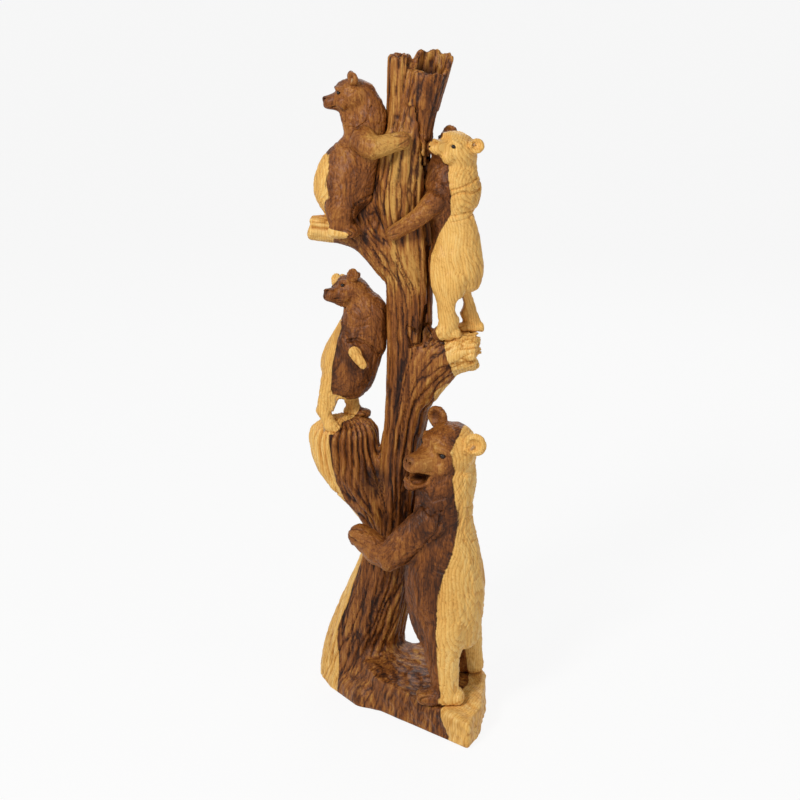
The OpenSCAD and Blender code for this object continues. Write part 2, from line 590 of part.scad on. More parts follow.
// The bears' pieces
module torso(k) color(HEARTWOOD) difference() {
    stood(k) torso_form(k);
    tree_seats(k);
    bear_bores(k);
}
module head(k) color(HEARTWOOD) difference() {
    stood(k) difference() {
        headed(k) difference() {
            head_form(k);
            each_side() eye_form(k, 2 * glue_gap);
        }
        torso_form(k);
    }
    tree_seats(k);
    bear_bores(k);
    ear_bores(k);
}
module jaw(k) color(HEARTWOOD) difference() {
    stood(k) difference() {
        headed(k) difference() {
            jaw_form(k);
            head_form(k);
        }
        torso_form(k);
    }
    trunk_form();
    bear_bores(k);
}
module ears(k) color(SAPWOOD) difference() {
    stood(k) difference() {
        headed(k) difference() {
            each_side() ear_form(k);
            head_form(k);
        }
        torso_form(k);
    }
    tree_seats(k);
    ear_bores(k);
}
module eyes(k) color(GLASS) stood(k) headed(k) each_side() eye_form(k);
module arm(k, left) color(HEARTWOOD) difference() {
    stood(k) difference() {
        arm_form(k, left);
        torso_form(k);
        headed(k) head_form(k);
    }
    tree_seats(k);
    bear_bores(k);
}
module leg(k, left) color(SAPWOOD) difference() {
    stood(k) difference() {
        leg_form(k, left);
        torso_form(k);
    }
    tree_seats(k);
    bear_bores(k);
}

// The dowels
module tree_dowels() color(DOWEL_WOOD) for (d = tree_dowel_list) peg(d);
module mother_dowels() color(DOWEL_WOOD) stood(MOTHER) for (d = bear_dowels(MOTHER)) peg(d);
CUBS = [SEAT_CUB, STUB_CUB, FORK_CUB];
module cub_dowels() color(DOWEL_WOOD) for (k = CUBS) stood(k) for (d = bear_dowels(k)) peg(d);
module ear_dowels() color(DOWEL_WOOD)
    for (k = BEARS) stood(k) headed(k) each_side() eared(k) peg(ear_dowel(k));

function shown(name) = node == "all" || node == name;
function bear_shown(k, piece) = shown(str(BEAR_NAMES[k], "_", piece));

if (shown("ground_block")) ground_block();
if (shown("trunk")) trunk();
if (shown("hollow_limb")) hollow_limb();
if (shown("solid_limb")) solid_limb();
if (shown("stub_branch")) stub_branch();
if (shown("fork_branch")) fork_branch();
if (shown("seat_branch")) seat_branch();
for (k = BEARS) {
    if (bear_shown(k, "torso")) torso(k);
    if (bear_shown(k, "head")) head(k);
    if (bear_shown(k, "ears")) ears(k);
    if (bear_shown(k, "eyes")) eyes(k);
    if (bear_shown(k, "left_arm")) arm(k, true);
    if (bear_shown(k, "right_arm")) arm(k, false);
    if (bear_shown(k, "left_leg")) leg(k, true);
    if (bear_shown(k, "right_leg")) leg(k, false);
}
if (shown("mother_jaw")) jaw(MOTHER);
if (shown("tree_dowels")) tree_dowels();
if (shown("mother_dowels")) mother_dowels();
if (shown("cub_dowels")) cub_dowels();
if (shown("ear_dowels")) ear_dowels();
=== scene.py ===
"""Looks for a carved bear family on a hollow tree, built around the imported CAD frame.

The blocks of the tree, and of each bear, are joined into one distance field. Its creases are eased, faces,
mouths and broken ends are carved into it, and its skin is meshed. The skin is then grooved along the flow of
the wood or the fur and cut into one closed piece for each CAD block. Lengths are millimetres until a mesh is
written.
"""

import math

import bpy
import numpy as np
import openvdb as vdb
from mathutils import Euler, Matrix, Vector


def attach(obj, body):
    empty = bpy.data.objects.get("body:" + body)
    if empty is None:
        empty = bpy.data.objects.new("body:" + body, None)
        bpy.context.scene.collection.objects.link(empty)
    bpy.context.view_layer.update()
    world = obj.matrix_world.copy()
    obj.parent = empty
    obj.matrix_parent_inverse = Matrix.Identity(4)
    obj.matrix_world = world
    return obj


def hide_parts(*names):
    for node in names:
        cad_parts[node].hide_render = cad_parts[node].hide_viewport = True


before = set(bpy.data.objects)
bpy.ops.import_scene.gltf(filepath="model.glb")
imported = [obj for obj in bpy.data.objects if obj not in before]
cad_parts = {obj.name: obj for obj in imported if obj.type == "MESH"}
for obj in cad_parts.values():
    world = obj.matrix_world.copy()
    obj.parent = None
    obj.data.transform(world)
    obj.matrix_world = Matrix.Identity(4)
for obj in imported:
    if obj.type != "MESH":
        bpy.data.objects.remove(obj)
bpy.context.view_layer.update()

MM = 0.001
COARSE = 1.0
TREE_VOXEL = 1.75 * COARSE

# What belongs together
TREE_NODES = ["ground_block", "trunk", "hollow_limb", "solid_limb",
              "stub_branch", "fork_branch", "seat_branch"]
ARMS = ["left_arm", "right_arm"]
LEGS = ["left_leg", "right_leg"]
LIMBS = ARMS + LEGS
BEAR_PARTS = ["torso", "head", "ears"] + LIMBS
# Left and right
SIDES = (1, -1)

# What the mother and the cubs differ in: the voxel, how far creases are eased and edges rounded, and, in head
# radii, an ear's radius and where the left ear is pegged, ahead, to the left and up; the right ear mirrors it
MOTHER_BUILD = dict(voxel=1.3 * COARSE, ease=4.6, round=1.8, ear_r=0.42, ear=(-0.2, 1.02, 0.6))
CUB_BUILD = dict(voxel=1.08 * COARSE, ease=3.4, round=1.4, ear_r=0.36, ear=(-0.06, 0.84, 0.78))
# Each bear: head centre, radius, muzzle length, yaw, pitch and roll in degrees, the way its body faces, and
# the middles of its left and right ear in head radii ahead, to the left and up, with each ear's own turn
BEARS = {
    "mother": dict(head=(68.6, -25.0, 425.6), r=41.0, muzzle=34.0, yaw=217, pitch=0, roll=-15, facing=180,
                   ears=((-0.34, 1.0, 0.74, 34), (-0.15, -1.0, 0.84, 14))),
    "seat_cub": dict(head=(-68.3, 32.1, 933.5), r=27.0, muzzle=16.0, yaw=184, pitch=-6, roll=0, facing=-10,
                     ears=((-0.14, 0.76, 0.9, 30), (-0.1, -0.8, 0.84, -20))),
    "stub_cub": dict(head=(-74.5, 51.9, 647.8), r=27.0, muzzle=16.0, yaw=209, pitch=6, roll=15, facing=-15,
                     ears=((0.2, 0.84, 0.78, 24), (0.32, -0.88, 0.68, 14))),
    "fork_cub": dict(head=(75.2, 18.4, 855.7), r=29.7, muzzle=16.0, yaw=224, pitch=26, roll=-20, facing=180,
                     ears=((-0.24, 0.92, 0.86, 34), (0.02, -0.93, 0.64, 8))),
}

# Forms left full over the joints: start, end, half thickness at each, and how softly they join
FULL_FORMS = {
    "tree": [((-56, 34, 762), (-24, 33, 806), 16, 12, 14), ((-22, 34, 800), (-20, 34, 850), 14, 10, 12),
             ((38, 27, 832), (42, 27, 726), 8, 8, 6)],
    "mother": [((70, -50, 240), (70, -64, 150), 25, 17, 14), ((106, 2, 190), (114, 15, 70), 16, 13, 12),
               ((90, -10, 375), (92, -6, 420), 21, 18, 14)],
    "seat_cub": [((-72, 32, 906), (-64, 32, 888), 13, 15, 10), ((-86, 10, 800), (-80, 11, 768), 15, 13, 10),
                 ((-82, 10, 758), (-64, 4, 745), 10, 7.5, 6), ((-48, 33, 935), (-36, 34, 905), 14, 16, 10)],
    "stub_cub": [((-78, 24, 578), (-68, 15, 566), 11, 10, 8), ((-68, 15, 566), (-53, 9, 546), 9.5, 7.5, 2),
                 ((-104, 42, 512), (-115, 42, 468), 14, 9, 8), ((-115, 42, 468), (-104, 37, 446), 9, 9, 5),
                 ((-104, 37, 446), (-95, 34, 441), 9, 7, 4),
                 ((-31, 40, 622), (-31, 40, 566), 10, 9, 10), ((-58, 50, 640), (-42, 48, 622), 16, 16, 12)],
    "fork_cub": [((92, 26, 846), (96, 26, 806), 15, 16, 12), ((98, 26, 800), (98, 26, 786), 16, 15, 8),
                 ((66, 9, 700), (65, 6, 672), 23, 21, 10), ((69, 2, 660), (69, 2, 616), 18, 12.5, 10),
                 ((68, 0, 606), (59, -4, 597), 11, 10, 6), ((56, 20, 848), (47, 22, 812), 11, 12, 8)],
}
# Blocks whose place in the skin is taken by the forms above
RESHAPED = ["mother_ears", "seat_cub_ears", "stub_cub_ears", "fork_cub_ears", "stub_cub_right_arm",
            "stub_cub_right_leg"]
# Hollows cut right through, from front to back: middle and half sizes
OPENINGS = {"fork_cub": [((86, 20, 634), (8, 70, 15))], "mother": [((95, -30, 112), (8, 70, 14))]}
# Folds of the skin, cut into the front: x and z of points along each, half width, depth
FOLDS = {
    "fork_cub": [([(72, 805), (86, 808), (97, 812), (108, 818)], 1.5, 2.0),
                 ([(70, 794), (80, 800), (91, 802), (100, 799), (112, 803)], 1.7, 2.4),
                 ([(69, 767), (82, 768), (94, 772), (105, 773)], 1.5, 1.8),
                 ([(72, 758), (86, 760), (98, 764), (106, 769)], 1.3, 1.6),
                 ([(52, 815), (62, 808), (70, 796)], 1.4, 1.6),
                 ([(48, 800), (60, 796), (70, 786)], 1.4, 1.6)],
    "stub_cub": [([(-76, 581), (-63, 582), (-52, 579), (-42, 571), (-32, 557)], 2.4, 3.0),
                 ([(-90, 606), (-76, 600), (-60, 600), (-44, 604)], 1.2, 1.4),
                 ([(-80, 625), (-66, 612), (-54, 610), (-44, 616)], 1.2, 1.4)],
    "seat_cub": [([(-38, 796), (-54, 789), (-65, 782), (-69, 769), (-66, 756)], 1.6, 2.0),
                 ([(-76, 891), (-60, 889), (-46, 900), (-40, 920)], 1.3, 1.6),
                 ([(-90, 868), (-74, 862), (-62, 850)], 1.3, 1.5)],
    "mother": [([(8, 262), (28, 286), (52, 318), (62, 346)], 2.0, 2.2),
               ([(36, 372), (48, 360), (66, 366)], 1.4, 1.6),
               ([(30, 352), (46, 342), (60, 346)], 1.4, 1.6),
               ([(96, 330), (106, 326), (116, 330)], 1.3, 1.5),
               ([(92, 300), (104, 293), (118, 297)], 1.3, 1.5),
               ([(94, 348), (104, 345), (114, 350)], 1.3, 1.5)],
}

# The lines that the tree's wood flows along, root to tip, with a half thickness each
TREE_LINES = [
    ([(-63, 140, 0), (-51, 109, 88), (-34, 84, 158), (-21, 68, 220), (-12, 56, 290), (-3, 46, 361),
      (4, 42, 422), (12, 40, 484), (13, 38, 572), (13, 36, 642), (9, 34, 713), (0, 32, 783), (5, 31, 836),
      (12, 30, 880)], 34),
    ([(-14, 59, 275), (-48, 62, 345), (-73, 66, 384), (-81, 67, 440)], 46),
    ([(10, 40, 472), (45, 33, 540), (75, 27, 560), (120, 16, 566)], 34),
    ([(12, 35, 640), (-5, 36, 690), (-35, 37, 726), (-84, 38, 741), (-134, 39, 744)], 22),
    ([(18, 29, 870), (48, 27, 995)], 26),
    ([(-3, 32, 870), (0, 34, 995)], 18),
    ([(20, 30, 30), (110, -60, 40)], 12),
    ([(-98, 70, 0), (-66, 58, 90), (-36, 46, 180), (-10, 40, 280)], 34),
    ([(-62, 40, 20), (-28, 36, 100), (-2, 34, 190), (10, 34, 280)], 34),
    ([(8, 20, 672), (-20, 22, 715), (-46, 26, 758), (-58, 30, 786)], 24),
]
# The hollow limb: its foot, the way it leans, its length, the radii of its hollow and of its bark, how far up
# its front lip stands, and how much higher the back wall is
HOLLOW_ROOT = np.array((18.0, 29.0, 880.0))
HOLLOW_AXIS = np.array((0.2606, -0.0193, 0.9653))
HOLLOW_LENGTH = 106.0
HOLLOW_R = 17.0
LIMB_R = 26.0
RIM_FRONT = 89.0
RIM_RISE = 27.0
# How far up the limb the hollow's floor lies, and the middle and half height of its wall
HOLLOW_FLOOR = 45.0
WALL_MIDDLE = 80.0
WALL_HALF = 40.0
# How far up the limb the painted shade inside the hollow sets in, and where it fades out
DARK_FROM = (40, 44)
DARK_TO = (104, 82)
# Height of the solid limb's splinters, and the ends of the two broken branches along x
SOLID_TOP = 988.0
FORK_END = 112.0
SEAT_END = -130.0
# Where the bark of the fork branch is torn off
BARK_EDGE = (76.0, 84.0)
# The low stub: where its middle stands, how many flutes run round it, and between which heights they set in
STUB_AT = (-81, 67)
STUB_FLUTES = 28
FLUTES_FROM = (330, 400)

# The log, by height: where its pith stands, and the radius of its dark heart on the left and on the right
PITH_X = ([0, 430, 875, 1000], [-5, -5, -11, -12])
PITH_Y = ([0, 430, 875, 1000], [0, 0, 60, 68])
HEART_LEFT = ([0, 50, 100, 150, 200, 240, 300, 340, 370, 430, 500, 540, 576, 596, 612, 635, 650, 664,
               700, 740, 760, 780, 810, 850, 880, 910, 1000],
              [115, 124, 120, 100, 88, 80, 84, 91, 97, 103, 97, 94, 89, 82, 92, 106, 104, 88,
               80, 84, 97, 102, 106, 97, 98, 112, 108])
HEART_RIGHT = ([0, 28, 50, 100, 142, 178, 206, 255, 300, 340, 400, 464, 560, 620, 690, 712, 732, 750,
                770, 800, 840, 870, 930, 1000],
               [128, 122, 110, 107, 102, 96, 99, 104, 108, 109, 103, 105, 80, 58, 57, 60, 68, 80,
                92, 96, 92, 77, 96, 108])
# Places where the border swings: centre, reach, and how far it moves outwards
HEART_SWINGS = [((52, 24, 500), 34, -40), ((30, 10, 600), 26, 18), ((72, 40, 884), 16, 40),
                ((-95, -2, 765), 30, 15), ((-85, 60, 478), 40, -40), ((-105, 30, 650), 26, 12),
                ((-88, 30, 733), 24, 8), ((-92, 70, 664), 14, -24), ((-100, 36, 446), 17, -30),
                ((-63, 4, 559), 15, -60), ((-56, 2, 548), 13, -60), ((-66, 6, 566), 12, -60)]
# Lighter, golden places in the dark wood, and darker ones: centre, reach, strength
TONES = [
    ((4, -4, 800), 56, 1.0), ((-2, 0, 850), 46, 0.7), ((-22, -14, 868), 40, 1.5), ((48, 40, 990), 30, 0.4),
    ((8, -2, 690), 52, 0.9), ((-30, -45, 262), 38, 0.5), ((-10, 20, 965), 36, 0.5),
    ((-8, 14, 905), 32, 0.4), ((25, 8, 972), 20, 0.2), ((-60, 15, 470), 30, 0.3), ((48, -62, 425), 34, 0.6),
    ((42, -60, 335), 52, -0.5), ((48, -72, 230), 60, -0.6), ((36, -70, 150), 50, -0.5),
    ((-60, 20, 400), 40, -0.2), ((62, 5, 800), 30, -0.4), ((20, -30, 60), 60, -0.3),
    ((-50, 60, 150), 60, 0.25), ((-10, 30, 745), 26, -0.5), ((-70, 10, 800), 40, -0.2),
]
# Painted shade in hollows, crevices and shadowed places: centre, reach, strength
SHADE_SPOTS = [
    ((-38, 22, 364), 26, 0.7), ((20, -20, 375), 30, 0.6), ((34, 8, 600), 18, 0.8), ((42, -50, 60), 34, 0.8),
    ((14, 14, 250), 30, 0.4), ((30, 20, 100), 44, 0.6), ((38, 8, 830), 22, 0.6), ((70, 10, 470), 26, 0.4),
    ((-15, 26, 760), 22, 0.5),
]


# Noise

CELLS = 40
LATTICE = np.random.default_rng(11).uniform(-1, 1, (CELLS, CELLS, CELLS)).astype(np.float32).ravel()


def noise(points, cell):
    """Smooth noise from -1 to 1, with features about one cell wide."""
    at = points / cell
    base = np.floor(at)
    f = at - base
    f = f * f * (3 - 2 * f)
    low = base.astype(np.int64) % CELLS
    high = (low + 1) % CELLS
    total = 0
    for ix, wx in ((low[:, 0], 1 - f[:, 0]), (high[:, 0], f[:, 0])):
        for iy, wy in ((low[:, 1], 1 - f[:, 1]), (high[:, 1], f[:, 1])):
            row = (ix * CELLS + iy) * CELLS
            wxy = wx * wy
            below = (1 - f[:, 2]) * LATTICE[row + low[:, 2]]
            above = f[:, 2] * LATTICE[row + high[:, 2]]
            total = total + wxy * (below + above)
    return total


def scoops(points, cell):
    """Distance to the nearest of a set of scattered gouge centres, 0 at a centre and about 1 between."""
    at = points / cell
    base = np.floor(at).astype(np.int64)
    best = np.full(len(points), 9.0)
    for step in np.ndindex(3, 3, 3):
        corner = base + np.array(step) - 1
        wrapped = corner % CELLS
        index = (wrapped[:, 0] * CELLS + wrapped[:, 1]) * CELLS + wrapped[:, 2]
        spot = corner + 0.5 + 0.45 * np.stack(
            [LATTICE[(index + k * 7919) % LATTICE.size] for k in range(3)], axis=1)
        best = np.minimum(best, ((spot - at) ** 2).sum(1))
    return np.sqrt(best)


def ease(low, high, value):
    """A smooth step from 0 at low to 1 at high, which may be the lesser of the two."""
    t = np.clip((value - low) / (high - low), 0, 1)
    return t * t * (3 - 2 * t)


# Distance fields

BAND = 15.0
MARGIN = 20.0
# A skin this far outside the blocks bridges the glue gaps between them
JOINT_OUTSET = 0.35


def lengths(vectors):
    return np.linalg.norm(vectors, axis=-1)


def grid_points(first, last, voxel):
    """The points of the voxels from first up to last."""
    axes = [np.arange(a, b) * voxel for a, b in zip(first, last)]
    return np.stack(np.meshgrid(*axes, indexing="ij"), axis=-1)


class Field:
    """Values on a grid of voxels that starts at a whole number of voxels from the origin."""

    def __init__(self, values, low, voxel):
        self.values = values
        self.low = np.array(low)
        self.voxel = voxel

    def sample(self, points):
        at = points / self.voxel - self.low
        top = np.array(self.values.shape[:3]) - 1.001
        at = np.clip(at, 0, top)
        base = at.astype(np.int64)
        f = (at - base).astype(np.float32)
        size_y, size_z = self.values.shape[1:3]
        flat = self.values.reshape((-1,) + self.values.shape[3:])
        total = 0
        for dx in (0, 1):
            wx = f[:, 0] if dx else 1 - f[:, 0]
            for dy in (0, 1):
                wy = f[:, 1] if dy else 1 - f[:, 1]
                row = ((base[:, 0] + dx) * size_y + base[:, 1] + dy) * size_z + base[:, 2]
                for dz in (0, 1):
                    weight = wx * wy * (f[:, 2] if dz else 1 - f[:, 2])
                    value = flat[row + dz]
                    total = total + (weight[:, None] * value if value.ndim > 1 else weight * value)
        return total

    def window(self, centre, reach):
        """A view of the grid round a point, with the points of its voxels."""
        first = np.maximum(np.floor((np.array(centre) - reach) / self.voxel).astype(int) - self.low, 0)
        last = np.minimum(np.ceil((np.array(centre) + reach) / self.voxel).astype(int) - self.low,
                          np.array(self.values.shape))
        part = tuple(slice(a, b) for a, b in zip(first, last))
        return part, grid_points(first + self.low, last + self.low, self.voxel)


def node_mesh(name):
    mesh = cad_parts[name].data
    mesh.calc_loop_triangles()
    points = np.empty(len(mesh.vertices) * 3, np.float32)
    mesh.vertices.foreach_get("co", points)
    triangles = np.empty(len(mesh.loop_triangles) * 3, np.int32)
    mesh.loop_triangles.foreach_get("vertices", triangles)
    return points.reshape(-1, 3) / MM, triangles.reshape(-1, 3).astype(np.uint32)


def dense(grid, low, shape):
    values = np.empty(shape, np.float32)
    grid.copyToArray(values, ijk=tuple(int(v) for v in low))
    return values


def level_set(points, voxel, **faces):
    place = vdb.createLinearTransform(voxelSize=voxel)
    half = BAND / voxel
    return vdb.FloatGrid.createLevelSetFromPolygons(points, transform=place, halfWidth=half, **faces)


def packed(quads, count):
    """The numbers of the points that quads use, out of a count, and the quads renumbered to them."""
    used = np.unique(quads)
    renumber = np.zeros(count, np.int64)
    renumber[used] = np.arange(len(used))
    return used, renumber[quads]


def skin(field, level=0.0):
    """The surface of a field: the points and quads of its largest shell."""
    grid = vdb.FloatGrid(BAND)
    grid.transform = vdb.createLinearTransform(voxelSize=field.voxel)
    grid.copyFromArray(np.ascontiguousarray(field.values), ijk=tuple(int(v) for v in field.low))
    points, quads = grid.convertToQuads(level)
    quads = quads.astype(np.int64)
    shells = connected(len(points), quads)
    biggest = np.bincount(shells).argmax()
    used, quads = packed(quads[shells[quads[:, 0]] == biggest], len(points))
    return points[used].astype(np.float64), quads


def connected(count, faces):
    """A label for each point, the same for points that faces join."""
    pairs = np.concatenate([faces[:, k:k + 2] for k in range(faces.shape[1] - 1)])
    labels = np.arange(count)
    while True:
        lowest = np.minimum(labels[pairs[:, 0]], labels[pairs[:, 1]])
        new = labels.copy()
        np.minimum.at(new, pairs[:, 0], lowest)
        np.minimum.at(new, pairs[:, 1], lowest)
        np.minimum.at(new, labels[pairs[:, 0]], lowest)
        np.minimum.at(new, labels[pairs[:, 1]], lowest)
        for _ in range(4):
            new = new[new]
        if (new == labels).all():
            return labels
        labels = new


def blurred(values, spread):
    """Blurs by about spread voxels: three running means along each axis."""
    half = max(1, int(round((math.sqrt(4 * spread * spread + 1) - 1) / 2)))
    width = 2 * half + 1
    out = values
    for axis in range(3):
        for _ in range(3):
            pad = [(0, 0)] * 3
            pad[axis] = (half + 1, half)
            total = np.cumsum(np.pad(out, pad, mode="edge"), axis=axis, dtype=np.float64)
            upper = np.take(total, np.arange(width, total.shape[axis]), axis=axis)
            lower = np.take(total, np.arange(0, total.shape[axis] - width), axis=axis)
            out = ((upper - lower) / width).astype(np.float32)
    return out


def joined(names, fillers, voxel):
    """The field of the joined blocks, free of the joints inside, and each block's own field."""
    meshes = {name: node_mesh(name) for name in names}
    reach = np.concatenate([points for points, _ in meshes.values()])
    low = np.floor((reach.min(0) - MARGIN) / voxel).astype(int)
    shape = np.ceil((reach.max(0) + MARGIN) / voxel).astype(int) - low + 1
    own = {}
    for name, (points, triangles) in meshes.items():
        own[name] = Field(dense(level_set(points, voxel, triangles=triangles), low, shape), low, voxel)
    values = np.minimum.reduce([field.values for name, field in own.items() if name not in RESHAPED])
    for name in fillers:
        points, triangles = node_mesh(name)
        values = np.minimum(values, dense(level_set(points, voxel, triangles=triangles), low, shape))
    points, quads = skin(Field(values, low, voxel), JOINT_OUTSET)
    whole = level_set(points.astype(np.float32), voxel, quads=quads.astype(np.uint32))
    return Field(dense(whole, low, shape) + JOINT_OUTSET, low, voxel), own


def fill_forms(field, group):
    """Adds the full forms of a group, then opens its openings."""
    for start, end, r0, r1, soft in FULL_FORMS[group]:
        middle = (np.array(start) + np.array(end)) / 2
        reach = math.dist(start, end) / 2 + max(r0, r1) + soft + 6
        part, world = field.window(middle, reach)
        field.values[part] = soft_min(field.values[part], capsule(world, start, end, r0, r1), soft)
    for middle, radii in OPENINGS.get(group, []):
        part, world = field.window(middle, max(radii) + 6)
        field.values[part] = soft_max(field.values[part], -ellipsoid(world, middle, radii), 4)


def cut_folds(field, group):
    """Cuts the folds of a group into the half of the bear that faces the viewer."""
    head_y = BEARS[group]["head"][1]
    for run, half, depth in FOLDS[group]:
        low = np.min(run, axis=0)
        high = np.max(run, axis=0)
        middle = ((low[0] + high[0]) / 2, head_y, (low[1] + high[1]) / 2)
        reach = np.array(((high[0] - low[0]) / 2 + 6, 70, (high[1] - low[1]) / 2 + 6))
        steps = [((a[0], 0, a[1]), (b[0], 0, b[1]), half, half) for a, b in zip(run, run[1:])]
        cut_cracks(field, middle, reach, steps, depth, 0.6, head_y + 4)


def soft_min(a, b, width):
    """The lesser of two fields, rounded over where they differ by less than a width."""
    mixed = np.maximum(width - np.abs(a - b), 0)
    return np.minimum(a, b) - mixed * mixed / (4 * width)


def soft_max(a, b, width):
    return -soft_min(-a, -b, width)


def capsule(points, start, end, r_start, r_end=None):
    """Distance to a rod with round ends, which tapers where a second radius is given."""
    start = np.array(start, float)
    along = np.array(end, float) - start
    share = np.clip(((points - start) @ along) / (along @ along), 0, 1)
    r = r_start if r_end is None else r_start + (r_end - r_start) * share
    return lengths(points - start - share[..., None] * along) - r


def ellipsoid(points, centre, radii):
    """Rough distance to an ellipsoid, exact on its skin."""
    return (lengths((points - centre) / radii) - 1) * min(radii)


# Faces

def head_axes(bear):
    """Rows are the head's own forward, left and up."""
    yaw, pitch, roll = (math.radians(bear[k]) for k in ("yaw", "pitch", "roll"))
    nodded = Euler((0, 0, yaw)).to_matrix() @ Euler((0, -pitch, 0)).to_matrix()
    turn = nodded @ Euler((roll, 0, 0)).to_matrix()
    return np.array(turn.transposed())


# In head radii: the left eye, and where the muzzle starts
EYE_AT = (0.69, 0.56, 0.24)
MUZZLE_ROOT = 0.82
EAR_SPLAY = math.radians(28)


def in_head(points, bear):
    """Points in the head's own frame, in head radii."""
    return ((points - bear["head"]) @ head_axes(bear).T) / bear["r"]


def muzzle_tip(bear):
    """How far ahead of the head's middle the muzzle ends, in head radii."""
    return MUZZLE_ROOT + bear["muzzle"] / bear["r"]


def mirrored(point, side):
    """A point on the left, or its mirror image on the right where side is -1."""
    return (point[0], side * point[1], point[2])


def carve_face(field, bear, build, open_mouth):
    """Works a brow, eye sockets, nose, nostrils and mouth into the head, in head radii."""
    part, world = field.window(bear["head"], 2.1 * bear["r"])
    local = in_head(world, bear)
    d = field.values[part] / bear["r"]
    tip = muzzle_tip(bear)
    for side in SIDES:
        eye = np.array(mirrored(EYE_AT, side))
        brow_in = (0.86, side * 0.3, 0.42)
        brow_out = (0.5, side * 0.72, 0.44)
        d = soft_min(d, capsule(local, brow_in, brow_out, 0.1, 0.08), 0.16)
        cheek = (0.55, side * 0.52, -0.32)
        d = soft_min(d, ellipsoid(local, cheek, (0.34, 0.3, 0.32)), 0.14)
        socket = eye + (0.1, side * 0.06, 0.0)
        d = soft_max(d, -ellipsoid(local, socket, (0.2, 0.2, 0.15)), 0.07)
        inward = (0.09, -side * 0.13, 0)
        outward = (-0.09, side * 0.1, 0)
        for up, r in ((0.09, 0.045), (-0.1, 0.04)):
            lid = capsule(local, eye + inward + (0, 0, up), eye + outward + (0, 0, up), r)
            d = soft_min(d, lid, 0.05)
    # The bridge dips, and the nose pad stands proud of it
    dip = (0.5 * tip + 0.42, 0, 0.36)
    d = soft_max(d, -ellipsoid(local, dip, (0.4, 0.5, 0.26)), 0.12)
    d = soft_min(d, capsule(local, (0.7, 0, 0.12), (tip - 0.1, 0, -0.06), 0.14, 0.1), 0.2)
    pad = (tip - 0.06, 0, -0.1) if open_mouth else (tip + 0.01, 0, -0.06)
    d = soft_min(d, ellipsoid(local, pad, (0.13, 0.19, 0.16)), 0.06)
    for side in SIDES:
        nostril_front = (pad[0] + 0.11, side * 0.09, pad[2] - 0.02)
        nostril_back = (pad[0] - 0.05, side * 0.16, pad[2] + 0.02)
        d = soft_max(d, -capsule(local, nostril_front, nostril_back, 0.055), 0.03)
    if open_mouth:
        d = carve_open_mouth(local, d)
    else:
        d = carve_closed_mouth(local, d, tip)
    for side, place in zip(SIDES, bear["ears"]):
        d = carve_ear(local, d, place, mirrored(build["ear"], side), side, build["ear_r"])
    field.values[part] = d * bear["r"]


def carve_closed_mouth(local, d, tip):
    """A full lower jaw under the line of the lips, and the notch below the nose."""
    d = soft_min(d, capsule(local, (tip - 0.2, 0, -0.36), (0.45, 0, -0.56), 0.19, 0.32), 0.12)
    lip = [(tip + 0.08, 0, -0.36), (tip - 0.12, 0.2, -0.42), (0.9, 0.36, -0.46), (0.68, 0.46, -0.38)]
    for a, b in zip(lip, lip[1:]):
        for side in SIDES:
            d = soft_max(d, -capsule(local, mirrored(a, side), mirrored(b, side), 0.05), 0.04)
    return soft_max(d, -capsule(local, (tip + 0.14, 0, -0.2), (tip + 0.08, 0, -0.36), 0.03), 0.03)


def carve_ear(local, d, place, pegged, side, r):
    """A round ear with a scooped front, splayed outwards, on a root that runs to where it is pegged."""
    turn = np.array(Euler((-side * EAR_SPLAY, 0, math.radians(place[3]))).to_matrix())
    q = (local - place[:3]) @ turn
    root = (place[0] - 0.12, 0.92 * place[1], place[2] - 0.1)
    d = soft_min(d, capsule(local, pegged, root, 0.2, 0.14), 0.08)
    d = soft_min(d, ellipsoid(q, (0, 0, -0.02), (0.19, r, r)), 0.05)
    return soft_max(d, -ellipsoid(q, (0.2, 0, 0.02), (0.19, 0.66 * r, 0.68 * r)), 0.03)


def carve_open_mouth(local, d):
    """Opens the jaws: a wide gape with rolled lips, a tongue and fangs."""
    lower = [(0.86, 0.42, -0.56), (0.86, 0.42, -0.7), (0.97, 0.38, -0.92), (1.14, 0.34, -1.02),
             (1.37, 0.27, -1.05), (1.55, 0.17, -0.97), (1.62, 0, -0.87)]
    upper = [(0.86, 0.42, -0.56), (1.06, 0.37, -0.48), (1.26, 0.31, -0.44), (1.4, 0.24, -0.4),
             (1.53, 0.13, -0.37), (1.6, 0, -0.34)]
    d = soft_min(d, capsule(local, (0.9, 0, -0.98), (1.42, 0, -1.1), 0.26, 0.19), 0.1)
    d = soft_max(d, -ellipsoid(local, (1.4, 0, -0.7), (0.52, 0.7, 0.3)), 0.05)
    d = soft_max(d, -ellipsoid(local, (1.1, 0, -0.74), (0.34, 0.42, 0.24)), 0.05)
    for run, r in ((lower, 0.06), (upper, 0.055)):
        for a, b in zip(run, run[1:]):
            for side in SIDES:
                d = soft_min(d, capsule(local, mirrored(a, side), mirrored(b, side), r), 0.05)
    tongue = ellipsoid(local, (1.18, 0, -0.94), (0.36, 0.2, 0.1))
    d = soft_min(d, tongue, 0.03)
    d = soft_max(d, -capsule(local, (1.0, 0, -0.83), (1.5, 0, -0.85), 0.03), 0.03)
    for side in SIDES:
        fangs = [((1.5, 0.17, -0.38), (1.5, 0.15, -0.58)), ((1.57, 0.12, -0.92), (1.64, 0.11, -0.66))]
        for root, tip in fangs:
            d = soft_min(d, capsule(local, mirrored(root, side), mirrored(tip, side), 0.06, 0.015), 0.02)
    return d


# Broken ends of the tree

